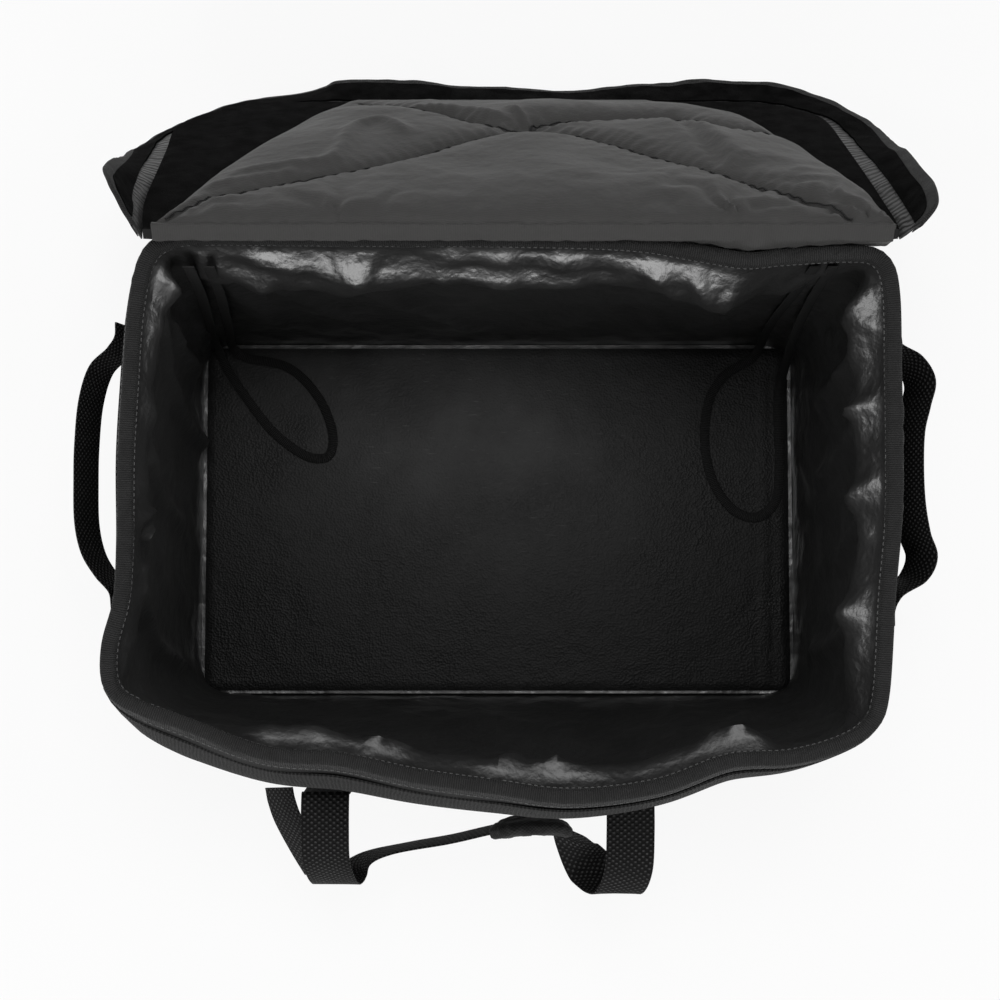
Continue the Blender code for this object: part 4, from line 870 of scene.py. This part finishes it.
def build_wall(name, wall, bodies, outer_nodes, liner_nodes, binding_nodes, hook_nodes):
    rows = shares_between(0.0, wall.share_below(GAP + BINDING_THICK))
    face = wall.at(rows, WALL)
    face = face + grid_normals(face) * swell(face, *OUTER_SWELL)[..., None]
    cloth = cloth_slab("outer_cloth_" + name, face, wall.at(rows, LINER + GAP), "outer")
    inner = wall.at(rows, 0.0)
    inner = inner - wall.outward_at(inner) * liner_slack(wall, inner)[..., None]
    liner = cloth_slab("liner_film_" + name, inner + wall.outward_at(inner) * LINER, inner, "liner")
    band = np.linspace(wall.share_below(HOOK_TOP + HOOK_WIDTH), wall.share_below(HOOK_TOP), HOOK_ROWS)
    near, far = [wall.at(band, WALL + GAP + thick) for thick in (0.0, HOOK_THICK)]
    pieces = ((cloth, outer_nodes, "outer_cloth"), (liner, liner_nodes, "liner"),
              (build_binding(name, wall), binding_nodes, "binding"),
              (build_stitches(name, wall), (), "binding"),
              (cloth_slab("hook_band_" + name, far, near, "hook"), hook_nodes, "hook_tape"))
    for piece, nodes, slot in pieces:
        place_piece(piece, bodies, nodes)


def build_binding(name, wall):
    """Folded tape over the rim, from one face of the wall to the other."""
    legs = np.linspace(wall.share_below(BINDING_DROP), wall.share_below(GAP), BINDING_ROWS)
    outer = wall.at(legs, WALL + BINDING_THICK)
    inner = wall.at(legs[::-1], -BINDING_THICK)
    top = []
    for angle in [math.pi * step / BINDING_TURNS for step in range(1, BINDING_TURNS)]:
        out = WALL / 2 + (WALL / 2 + BINDING_THICK) * math.cos(angle)
        ring = wall.at([wall.share_below(GAP)], out)[:, 0]
        top.append(ring + BINDING_CROWN * math.sin(angle) * UP)
    grid = np.concatenate([outer, np.stack(top, axis=1), inner], axis=1)
    for side, low, high in RUCHES:
        inside = (grid[..., 0] * side > 0) & (grid[..., 1] > low) & (grid[..., 1] < high)
        ruche = np.abs(swell(grid, *RUCHE_SWELL)) * inside
        grid = grid + grid_normals(grid) * ruche[..., None]
    return cloth_slab("rim_tape_" + name, grid, grid - grid_normals(grid) * BINDING_CLOTH, "binding")


# A stitch is a box: the corners of its two ends, and its faces
BOX_CORNERS = ((-1, -1), (1, -1), (1, 1), (-1, 1))
BOX_FACES = ((0, 1, 2, 3), (4, 7, 6, 5), (0, 4, 5, 1), (1, 5, 6, 2), (2, 6, 7, 3), (3, 7, 4, 0))


def build_stitches(name, wall):
    """Two rows of thread on the binding, one on each face of the wall."""
    verts, faces = [], []
    for out in (-BINDING_THICK - STITCH_THICK / 2, WALL + BINDING_THICK):
        line = smooth_path(wall.at([wall.share_below(STITCH_DROP)], out)[:, 0], STITCH_CUTS)
        lengths = run_lengths(line)
        for start in np.arange(STITCH_PITCH, lengths[-1] - STITCH_PITCH, STITCH_PITCH):
            ends = places_at(line, lengths, [start, start + STITCH_LENGTH])
            side = np.cross(unit(ends[1] - ends[0]), UP)
            first = len(verts)
            for end in ends:
                for a, b in BOX_CORNERS:
                    verts.append(end + side * (a * STITCH_THICK / 2) + UP * (b * STITCH_THICK / 2))
            for face in BOX_FACES:
                faces.append(tuple(first + corner for corner in face))
    return add_mesh("rim_stitches_" + name, verts, faces, "thread")


def place_piece(piece, bodies, nodes):
    if nodes:
        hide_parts(*nodes)
    if len(bodies) == 1:
        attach(piece, bodies[0])
        return
    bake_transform(piece)


def build_walls():
    around = Wall(FRONT_RIGHT_COLUMN, FRONT_LEFT_COLUMN)
    build_wall("around", around, ("body",),
               ("outer_left", "outer_right", "outer_back", "foam_left", "foam_right", "foam_back"),
               ("liner_left", "liner_right", "liner_back"),
               ("rim_binding_left", "rim_binding_right", "rim_binding_back"),
               ("hook_tape_left", "hook_tape_right"))
    halves = (("front_right", Wall(0, FRONT_RIGHT_COLUMN), 1),
              ("front_left", Wall(FRONT_LEFT_COLUMN, len(PLAN)), -1))
    for name, wall, sign in halves:
        blend = [(sign * place, 0.0, 0.0) for place in (FRONT_BLEND_START, FRONT_BLEND_END)]
        bodies = ("body", "front_wall", *blend)
        build_wall(name, wall, bodies, ("outer_front", "foam_front"), ("liner_front",),
                   ("rim_binding_front",), ("hook_tape_front",))


# Tape loops

def build_loop(name, places, node):
    table = smooth_path(places, PATH_CUTS)
    path, flat = table[:, :3], table[:, 3:4]
    along = unit(np.gradient(path, axis=0))
    facing = np.hstack([np.zeros_like(flat), -(1 - flat), flat])
    piece = ribbon(name, path, np.cross(facing, along), LOOP_WIDTH, LOOP_THICK, "tape")
    place_piece(piece, ("body",), (node,))


# Board and floor

def round_corners(x, y, half_x, half_y, radius):
    """Moves places of a rectangle's grid so that its corners become round."""
    inner_x, inner_y = half_x - radius, half_y - radius
    du, dv = (np.abs(x) - inner_x) / radius, (np.abs(y) - inner_y) / radius
    corner = (du > 0) & (dv > 0)
    pull = np.where(corner, np.maximum(du, dv) / np.maximum(np.hypot(du, dv), NO_LENGTH), 1.0)
    x = np.where(corner, np.sign(x) * (inner_x + du * pull * radius), x)
    y = np.where(corner, np.sign(y) * (inner_y + dv * pull * radius), y)
    return x, y


def flat_grid(width, depth, radius, step):
    x, y = np.meshgrid(np.linspace(-width / 2, width / 2, int(width / step) + 1),
                       np.linspace(-depth / 2, depth / 2, int(depth / step) + 1), indexing="ij")
    edge = np.minimum(width / 2 - np.abs(x), depth / 2 - np.abs(y))
    x, y = round_corners(x, y, width / 2, depth / 2, radius)
    return x, y, edge


def edge_roll(edge, radius):
    """How far a rounded edge lies below the face at that distance from the border."""
    share = np.clip(1 - edge / radius, 0.0, 1.0)
    return radius * (1 - np.sqrt(1 - share ** 2))


def build_board():
    x, y, edge = flat_grid(BOARD_WIDTH, BOARD_DEPTH, BOARD_CORNER, BOARD_STEP)
    top = BOARD_TOP - edge_roll(edge, BOARD_EDGE)
    for welt in BOARD_WELTS:
        top = top + WELT_HEIGHT * np.exp(-((x - welt) / WELT_WIDTH) ** 2) * (edge > BOARD_EDGE)
    foot = np.full_like(x, BOARD_FOOT)
    piece = cloth_slab("board_cover", np.stack([x, y, top], -1), np.stack([x, y, foot], -1), "vinyl")
    place_piece(piece, ("body",), ("base_board_cover", "base_board_core"))


def build_floor_layers():
    layers = (
        ("base_cloth", "floor", BASE_WIDTH, BASE_DEPTH, BASE_CORNER, 0.0, (CLOTH, 0.0), "outer",
         ("outer_bottom", "foam_bottom"), "outer_cloth"),
        ("floor_liner", "base_cloth", FLOOR_WIDTH, FLOOR_DEPTH, BOARD_CORNER, FLOOR_MIDDLE,
         (FLOOR_LINER_TOP, FLOOR_LINER_TOP - LINER), "liner", ("liner_bottom",), "liner"))
    for name, below, width, depth, corner, middle, levels, look, nodes, slot in layers:
        x, y = flat_grid(width, depth, corner, BOARD_STEP)[:2]
        places = [np.stack([x, y + middle, np.full_like(x, z)], -1) for z in levels]
        layer = cloth_slab(name, *places, look)
        place_piece(layer, ("body",), nodes)


# Lid

def lid_place(u, v, w):
    """Places on the lid, from its own length, width and height off its outer face."""
    u, v, w = np.broadcast_arrays(u, v, w)
    return LID_ORIGIN + u[..., None] * SIDE + v[..., None] * LID_V + w[..., None] * LID_W


def lid_rows(left, right, step, inset=0.0):
    """A grid over the lid between a left and a right border, each a table of v and u."""
    left, right = np.array(left), np.array(right)
    low, high = left[0, 0] + inset, left[-1, 0] - inset
    share = np.linspace(0.0, 1.0, int((high - low) / step) + 1)
    v = high - (high - low) * (1 - share) ** ROW_POWER
    widest = right[:, 1].max() - left[:, 1].min()
    across = np.linspace(0.0, 1.0, int(widest / step) + 1)
    u_left = np.interp(v, *left.T) + inset
    u_right = np.interp(v, *right.T) - inset
    u = u_left[:, None] + (u_right - u_left)[:, None] * across[None, :]
    return u, np.broadcast_to(v[:, None], u.shape), u_left, u_right


def lining_border(u, v):
    """Distance of places on the lining from its edge."""
    left, right = np.array(LINING_LEFT), np.array(LINING_RIGHT)
    sides = np.minimum(u - np.interp(v, *left.T), np.interp(v, *right.T) - u)
    return np.maximum(np.minimum(sides, np.minimum(v - left[0, 0], left[-1, 0] - v)), 0.0)


def quilt_height(u, v):
    """The padded lining: pillows between the sewn lines, with folds, pinches and puckers."""
    border = lining_border(u, v)
    share = np.clip(border / BORDER_REACH, 0.0, 1.0)
    far = np.clip((LINING_LEFT[-1][0] - v) / FAR_REACH, 0.0, 1.0)
    height = LID_CROWN * np.sqrt(1 - (1 - share) ** 2) * far ** FAR_POWER
    inside = np.clip(border / SEAM_REACH, 0.0, 1.0)
    spots = np.stack([u, v, 0 * u], axis=-1)
    drift = swell(spots, *QUILT_DRIFT)
    for line in SEAMS:
        near, along = seam_places(u, v, smooth_path(line, LINE_CUTS))
        height = height * (1 - SEAM_SINK_SHARE * np.exp(-near / SEAM_REACH))
        height = height - SEAM_SLIT * np.exp(-(near / SEAM_SLIT_WIDTH) ** 2)
        pucker = np.sin(2 * math.pi * along / PUCKER_PITCH + PUCKER_DRIFT * drift)
        height = height + PUCKER_HEIGHT * pucker * np.exp(-near / PUCKER_REACH) * inside
    for line, width, rise in FOLDS:
        near, along = seam_places(u, v, smooth_path(line, LINE_CUTS))
        ends = np.clip(np.minimum(along, along.max() - along) / FOLD_END, 0.0, 1.0)
        height = height + rise * np.exp(-(near / width) ** 2) * ends * inside
    for pu, pv, reach, rise, count in PINCHES:
        radius, angle = np.hypot(u - pu, v - pv), np.arctan2(v - pv, u - pu)
        gathers = np.sin(count * angle + PINCH_DRIFT * drift)
        height = height + rise * np.exp(-radius / reach) * gathers * inside
    ruffle = np.sin(2 * math.pi * u / HINGE_RUFFLE_PITCH + RUFFLE_DRIFT * drift)
    height = height + HINGE_RUFFLE * ruffle * np.exp(-v / HINGE_RUFFLE_REACH)
    height = height + swell(spots, *QUILT_SWELL) * inside + crease(spots, *QUILT_CREASE) * inside
    return LID_EDGE + np.maximum(height, QUILT_LOWEST)


def band_border(first, last):
    """The skirt's root line as a table of v and u, from the hinge to the far edge."""
    table = smooth_path([row[:2] for row in BAND], BAND_CUTS)[first * BAND_CUTS:last * BAND_CUTS + 1]
    if table[0, 1] > table[-1, 1]:
        table = table[::-1]
    return table[:, ::-1]


def build_lid():
    left = band_border(LEFT_BAND[0], LEFT_CORNER[1])
    right = band_border(RIGHT_CORNER[0], RIGHT_BAND[1])
    u, v, u_left, u_right = lid_rows(left, right, PAD_STEP, PAD_INSET)
    border = np.minimum(u - u_left[:, None], u_right[:, None] - u)
    border = np.minimum(border, v[-1, 0] - v)
    spots = np.stack([u, v, 0 * u], -1)
    low = edge_roll(border, PAD_ROLL) + np.abs(swell(spots, *PAD_SWELL)) * (border > PAD_ROLL)
    pad = cloth_slab("lid_pad", lid_place(u, v, low), lid_place(u, v, PAD_TOP), "outer")
    place_piece(pad, ("lid",), ("lid_outer", "lid_foam"))

    # A dark pile sheet over the whole pad, seen outside the lining's outline: it stands partly for the
    # skirt's loop tape and partly for painted shade there
    outside = 1 - np.clip(lining_border(u, v) / MARGIN_UNDER, 0.0, 1.0)
    high = PAD_TOP + GAP + LINER + np.abs(crease(spots, *MARGIN_CREASE)) * outside
    high = high - edge_roll(border, MARGIN_ROLL) * MARGIN_ROLL_SHARE
    margin = cloth_slab("lid_margin_pile_and_shade", lid_place(u, v, high), lid_place(u, v, PAD_TOP + GAP / 2), "pile")
    place_piece(margin, ("lid",), ())

    u, v = lid_rows(LINING_LEFT, LINING_RIGHT, LINING_STEP)[:2]
    face, foot = lid_place(u, v, quilt_height(u, v)), lid_place(u, v, LINING_FOOT)
    lining = cloth_slab("lid_quilt", face, foot, "quilt")
    place_piece(lining, ("lid",), ("lid_lining",))
    press_flat(lining)
    for number, line in enumerate(SEAMS):
        build_seam("lid_seam_thread_and_shade_" + str(number), line)


def press_flat(piece):
    """Gives the piece a mesh of its own."""
    anchor = lid_place(0.0, LID_DEPTH / 2, LINING_FOOT)
    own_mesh(piece)


def build_seam(name, line):
    """A dark strip along a sewn line of the lining: its thread, and painted shade where the cloth is drawn
    in.
    """
    line = smooth_path(line, 3 * PATH_CUTS)
    u, v = line[:, 0], line[:, 1]
    kept = lining_border(u, v) > SEAM_END
    u, v = u[kept], v[kept]
    reach = LINING_STEP * SEAM_LIFT_SHARE
    beside = [quilt_height(u + a * reach, v + b * reach) for a in (-1, 1) for b in (-1, 1)]
    path = lid_place(u, v, np.max(beside, axis=0))
    across = np.cross(LID_W, unit(np.gradient(path, axis=0)))
    # Dark tape stands for the thread and for painted shade in the seam's hollow
    seam = ribbon(name, path, across, SEAM_WIDTH, SEAM_THREAD, "tape")
    place_piece(seam, ("lid",), ())
    press_flat(seam)


# Skirt of the lid

class Band:
    """A stretch of the skirt between two rows of the table."""

    def __init__(self, first, last):
        table = smooth_path(BAND, BAND_CUTS)[first * BAND_CUTS:last * BAND_CUTS + 1]
        turn, flare = np.radians(table[:, 2]), np.radians(table[:, 3])
        self.width = np.minimum(table[:, 4], SKIRT_WIDTH)
        self.root = lid_place(table[:, 0], table[:, 1], SKIRT_LEVEL)
        outward = -np.cos(turn)[:, None] * SIDE + np.sin(turn)[:, None] * LID_V
        self.out = outward * np.cos(flare)[:, None] + LID_W * np.sin(flare)[:, None]
        self.up = LID_W * np.cos(flare)[:, None] - outward * np.sin(flare)[:, None]

    def at(self, reach, level):
        """Places at distances from the root, given for each station, and a level off the inner face."""
        places = self.root[:, None] + self.out[:, None] * reach[..., None]
        sag = swell(places, *SKIRT_SWELL) * np.clip(reach / SKIRT_SWELL_REACH, 0.0, 1.0)
        sag = sag + swell(places, *SKIRT_CREASE) * np.clip(reach / SKIRT_CREASE_REACH, 0.0, 1.0)
        return places + self.up[:, None] * (level + sag)[..., None]

    def between(self, low, high, count):
        """Reaches from low to as far as high short of the free edge, at each station."""
        far = np.maximum(self.width - high, low)
        return low + (far - low)[:, None] * np.linspace(0.0, 1.0, count)[None, :]


def build_band(name, span):
    band = Band(*span)
    reach = band.between(0.0, TRIM_OUT, SKIRT_ROWS)
    cloth = band.at(reach, 0 * reach)
    pieces = [cloth_slab("skirt_cloth_" + name, cloth, band.at(reach, 0 * reach - SKIRT_CLOTH), "skirt")]
    reach = band.between(PILE_START, PILE_MARGIN, PILE_ROWS)
    kept = np.flatnonzero(reach[:, -1] - reach[:, 0] > 2 * PILE_THICK)
    low, high = [band.at(reach, 0 * reach + GAP + thick)[kept[0]:kept[-1] + 1] for thick in (0.0, PILE_THICK)]
    pieces.append(cloth_slab("loop_pile_" + name, high, low, "pile"))
    pieces.append(build_trim(name, band))
    return pieces


def build_trim(name, band):
    """Folded tape round the free edge of the skirt."""
    inner = band.between(0.0, 0.0, 2)[:, 1:]
    legs = np.linspace(TRIM_LEG, 0.0, TRIM_ROWS)
    back = -SKIRT_CLOTH
    rows = [(-leg, TRIM_OUT) for leg in legs]
    rows += [(TRIM_OUT * math.sin(t), back / 2 + (TRIM_OUT - back / 2) * math.cos(t))
             for t in np.linspace(0.0, math.pi, TRIM_TURNS)[1:-1]]
    rows += [(-leg, back - TRIM_OUT) for leg in legs[::-1]]
    reach = np.maximum(inner + np.array([a for a, b in rows])[None, :], TRIM_NEAREST)
    level = np.broadcast_to(np.array([b for a, b in rows])[None, :], reach.shape)
    outer = band.at(reach, level)
    return cloth_slab("skirt_trim_" + name, outer, outer - grid_normals(outer) * TRIM_THICK, "binding")


def build_skirts():
    sides = (("left", LEFT_BAND, "skirt_left"), ("right", RIGHT_BAND, "skirt_right"))
    for name, span, body in sides:
        sign = math.copysign(1.0, BAND[span[0]][0])
        reach = FOLD_LENGTH * math.sqrt(0.5)
        start = tuple(lid_place(sign * FOLD_ROOT, LID_DEPTH / 2, SKIRT_LEVEL))
        end = tuple(lid_place(sign * (FOLD_ROOT + reach), LID_DEPTH / 2, SKIRT_LEVEL + reach))
        place_skirt(build_band(name, span), name, ("lid", body, start, end))
    place_skirt(build_band("front", FRONT_BAND), "front", ("skirt_front",))
    for name, (first, last) in (("left", LEFT_CORNER), ("right", RIGHT_CORNER)):
        for step in range(first, last):
            build_corner(name + "_" + str(step - first), step)


def place_skirt(pieces, name, bodies):
    slots = (("skirt_", "outer_cloth"), ("loop_tape_", "loop_tape"), ("skirt_binding_", "binding"))
    for piece, (node, slot) in zip(pieces, slots):
        place_piece(piece, bodies, (node + name,))


def build_corner(name, step):
    """A length of the skirt at a corner, fixed to the lid."""
    middle = np.mean([BAND[step], BAND[step + 1]], axis=0)
    anchor = lid_place(middle[0], middle[1], SKIRT_LEVEL)
    for piece, slot in zip(build_band(name, (step, step + 1)), ("outer_cloth", "loop_tape", "binding")):
        place_piece(piece, ("lid",), ())
        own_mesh(piece)


def build_hinge_strip(wall):
    """Cloth from the back wall over the rim to the lid, gathered along its length."""
    x = np.arange(STRIP_ENDS[0], STRIP_ENDS[1], STRIP_STEP)
    order = np.argsort(wall.columns[:, 0])
    rim = wall.at([wall.share_below(RIM_HEIGHT - STRIP_FOOT)], WALL + BINDING_THICK + STRIP_STAND)[order, 0]
    rim_y = np.interp(x, rim[:, 0], rim[:, 1])
    foot = np.stack([x, rim_y, np.full_like(x, STRIP_FOOT)], -1)
    over = np.stack([x, rim_y - STRIP_STAND, np.full_like(x, STRIP_TOP)], -1)
    u = x * (LINING_RIGHT[0][1] / STRIP_ENDS[1])
    low = lid_place(u, LID_START, 0.0)
    meet = lid_place(u, LID_START, LID_EDGE + LINER)
    lies = lid_place(u, STRIP_LAP, LID_EDGE + LINER)
    rows = np.stack([foot, (foot + over) / 2, over, low, (low + meet) / 2, meet, lies])
    path = np.stack([smooth_path(rows[:, i], STRIP_CUTS) for i in range(len(x))])
    gather = swell(path, *STRIP_GATHER)
    face = path + grid_normals(path) * gather[..., None]
    strip = cloth_slab("hinge_cloth", face, face - grid_normals(face) * STRIP_CLOTH, "quilt")
    place_piece(strip, ("body", "lid", *STRIP_TURN), ("hinge_strip",))


# Handles and tabs

def webbing(name, path, across):
    return ribbon(name, path, across, WEBBING_WIDTH, WEBBING_THICK, "webbing")


def build_side_handles():
    for name, sign, places in (("left", -1, LEFT_HANDLE), ("right", 1, RIGHT_HANDLE)):
        tilt = math.radians(SIDE_TILTS[name])
        across = np.array([sign * math.sin(tilt), 0.0, math.cos(tilt)])
        piece = webbing("side_loop_" + name, smooth_path(places, PATH_CUTS), across)
        turn = ((sign * SIDE_TURN_START, 0.0, 0.0), (sign * SIDE_TURN_END, 0.0, 0.0))
        nodes = ["side_handle_" + name] + ["side_handle_tab_" + name + end for end in ("_front", "_back")]
        place_piece(piece, ("body", "side_handle_" + name, *turn), nodes)


def build_front_handle():
    tabs = []
    for x, y, z, turned in (FRONT_HANDLE[0], FRONT_HANDLE[-1]):
        heights = np.linspace(FRONT_TAB_FOOT, z - WEBBING_WIDTH / 4, FRONT_TAB_ROWS)
        tabs.append([(x, y + (z - height) * FRONT_TAB_SLOPE_SHARE, height, turned) for height in heights])
    table = smooth_path(tabs[0] + list(FRONT_HANDLE) + tabs[1][::-1], PATH_CUTS)
    turn = np.clip(table[:, 3], 0.0, 1.0) * math.pi / 2
    strap = webbing("front_loop", table[:, :3], np.stack([np.cos(turn), 0 * turn, np.sin(turn)], -1))
    bend = ("front_wall", "front_handle", (0.0, FRONT_TURN_START, 0.0), (0.0, FRONT_TURN_END, 0.0))
    nodes = ("front_handle_strap", "front_handle_tab_left", "front_handle_tab_right")
    place_piece(strap, bend, nodes)
    inner = webbing("front_inner_end", smooth_path(FRONT_RETURN, PATH_CUTS), np.array(FRONT_RETURN_ACROSS))
    place_piece(inner, bend, ("front_handle_return",))
    build_wrap()


def build_wrap():
    """Cloth gathered round the strap."""
    path = smooth_path(WRAP, PATH_CUTS)
    lengths = run_lengths(path)
    even = np.arange(0.0, lengths[-1], WRAP_STEP)
    path = places_at(path, lengths, even)
    along = unit(np.gradient(path, axis=0))
    up = unit(UP - along * along[:, 2:3])
    side = np.cross(along, up)
    turn = np.linspace(0.0, 2 * math.pi, WRAP_SIDES + 1)
    share = np.abs(2 * even / even[-1] - 1)
    full = np.sqrt(np.maximum(1 - share ** WRAP_END_POWER, WRAP_END_LEAST_SHARE))[:, None]
    out = np.sign(np.cos(turn)) * np.abs(np.cos(turn)) ** WRAP_OUT_POWER * WRAP_THICK
    tall = np.sign(np.sin(turn)) * np.abs(np.sin(turn)) ** WRAP_TALL_POWER * WRAP_TALL
    centre = path[:, None]
    grid = centre + side[:, None] * (full * out)[..., None] + up[:, None] * (full * tall)[..., None]
    ridges = crease(grid, *WRAP_CREASE)
    ridges[:, -1] = ridges[:, 0]
    grid = grid + unit(grid - centre) * ridges[..., None]
    wrap = tube_mesh("grip_gathers", grid[:, :-1], "wrap")
    place_piece(wrap, ("front_handle",), ("grip_wrap",))


def tube_mesh(name, grid, look):
    """A closed skin through rings of places."""
    rows, columns = grid.shape[:2]
    faces = []
    for i in range(rows - 1):
        for j in range(columns):
            k = (j + 1) % columns
            faces.append((i * columns + j, i * columns + k, (i + 1) * columns + k, (i + 1) * columns + j))
    faces.append(tuple(range(columns)))
    faces.append(tuple((rows - 1) * columns + j for j in range(columns)))
    return add_mesh(name, grid.reshape(-1, 3), faces, look, grid_lengths(grid).reshape(-1, 2))


def build_back_handle(wall):
    """A flat loop of webbing behind the bag, sewn to the back wall at both ends."""
    order = np.argsort(wall.columns[:, 0])
    x, z = BACK_HANDLE[0]
    tab = [(x, height) for height in np.linspace(BACK_TAB_FOOT, z - WEBBING_WIDTH / 4, BACK_TAB_ROWS)]
    stands = [TAB_STAND] * len(tab) + list(BACK_STAND)
    half = []
    for (x, z), stand in zip(tab + list(BACK_HANDLE), stands):
        row = wall.at([wall.share_below(RIM_HEIGHT - z)], WALL + stand)[order, 0]
        half.append((-x, float(np.interp(-x, row[:, 0], row[:, 1])), z))
    other = [(-x, y, z) for x, y, z in half[-2::-1]]
    path = smooth_path(half + other, PATH_CUTS)
    across = np.cross(np.array([0.0, 1.0, 0.0]), unit(np.gradient(path, axis=0)))
    strap = webbing("back_loop", path, across)
    bend = ("body", "back_handle", (0.0, BACK_TURN_START, 0.0), (0.0, BACK_TURN_END, 0.0))
    nodes = ("back_handle_strap", "back_handle_tab_left", "back_handle_tab_right")
    place_piece(strap, bend, nodes)


def build_piping():
    names = ("front_right", "back_right", "back_left", "front_left")
    for column, name in zip(PIPING_COLUMNS, names):
        wall = Wall(column, column + 1)
        shares = np.linspace(PIPING_FOOT / RIM_HEIGHT, PIPING_TOP / RIM_HEIGHT, PIPING_ROWS)
        path = wall.at(shares, WALL + PIPING_RADIUS / 2)[0]
        outward = np.append(wall.outward[0], 0.0)
        turn = np.linspace(0.0, 2 * math.pi, PIPING_SIDES + 1)[:-1]
        ring = np.cos(turn)[:, None] * outward + np.sin(turn)[:, None] * np.cross(outward, UP)
        tube = tube_mesh("seam_piping_" + name, path[:, None] + ring[None] * PIPING_RADIUS, "tape")
        place_piece(tube, ("body",), ("corner_piping_" + name,))


# Camera, floor and light

def build_camera():
    data = bpy.data.cameras.new("camera")
    data.lens = CAMERA_LENS_MM
    data.sensor_width = CAMERA_SENSOR_MM
    camera = bpy.data.objects.new("camera", data)
    camera.location = CAMERA_PLACE
    camera.rotation_euler = (math.radians(CAMERA_TILT_DEGREES), 0.0, 0.0)
    bpy.context.scene.collection.objects.link(camera)
    bpy.context.scene.camera = camera


def seen_as_white(tree):
    """1 for the rays by which the camera, gloss and clear things see a surface, and 0 for its light."""
    path = tree.nodes.new("ShaderNodeLightPath")
    value = path.outputs["Is Camera Ray"]
    for ray in ("Is Glossy Ray", "Is Transmission Ray"):
        node = tree.nodes.new("ShaderNodeMath")
        node.operation = "MAXIMUM"
        tree.links.new(value, node.inputs[0])
        tree.links.new(path.outputs[ray], node.inputs[1])
        value = node.outputs[0]
    return value


def build_world():
    world = bpy.data.worlds.new("studio")
    bpy.context.scene.world = world
    world.use_nodes = True
    tree = world.node_tree
    light, white = tree.nodes["Background"], tree.nodes.new("ShaderNodeBackground")
    for background, strength in ((light, WORLD_LIGHT), (white, 1.0)):
        background.inputs["Color"].default_value = WHITE
        background.inputs["Strength"].default_value = strength
    mixer = tree.nodes.new("ShaderNodeMixShader")
    tree.links.new(seen_as_white(tree), mixer.inputs[0])
    tree.links.new(light.outputs[0], mixer.inputs[1])
    tree.links.new(white.outputs[0], mixer.inputs[2])
    tree.links.new(mixer.outputs[0], tree.nodes["World Output"].inputs["Surface"])


def add_lamp(name, place, size, power):
    data = bpy.data.lights.new(name, "AREA")
    data.size = size
    data.energy = power
    lamp = bpy.data.objects.new(name, data)
    lamp.location = place
    lamp.rotation_euler = (Vector(LAMP_TARGET) - lamp.location).to_track_quat("-Z", "Y").to_euler()
    bpy.context.scene.collection.objects.link(lamp)


def build_floor():
    """A white floor that keeps a soft part of the object's shadow."""
    half = FLOOR_SIZE / 2
    verts = [(-half, -half, 0.0), (half, -half, 0.0), (half, half, 0.0), (-half, half, 0.0)]
    look = Look("floor_white", *FLOOR_SURFACE)
    look.colour(look.noise(*FLOOR_PATCH), FLOOR_GREYS)
    MATERIALS["floor"] = look.material
    glow = look.node("ShaderNodeEmission")
    glow.inputs["Color"].default_value = WHITE
    mixer = look.node("ShaderNodeMixShader")
    look.link(look.times(seen_as_white(look.tree), FLOOR_WHITE_SHARE), mixer.inputs[0])
    look.link(look.shader.outputs[0], mixer.inputs[1])
    look.link(glow.outputs[0], mixer.inputs[2])
    look.link(mixer.outputs[0], look.tree.nodes["Material Output"].inputs["Surface"])
    floor = add_mesh("floor", verts, [(0, 1, 2, 3)], "floor")
    floor.location = (0.0, 0.0, -FLOOR_DROP)


bpy.context.scene.view_settings.view_transform = "Standard"
build_camera()
build_loop("tape_loop_left_ribbon", LEFT_LOOP, "tape_loop_left")
build_loop("tape_loop_right_ribbon", RIGHT_LOOP, "tape_loop_right")
build_walls()
build_piping()
build_board()
build_floor_layers()
build_lid()
build_skirts()
build_hinge_strip(Wall(*BACK_SIDE))
build_side_handles()
build_front_handle()
build_back_handle(Wall(*BACK_SIDE))
build_floor()
build_world()
for lamp in LAMPS:
    add_lamp(*lamp)
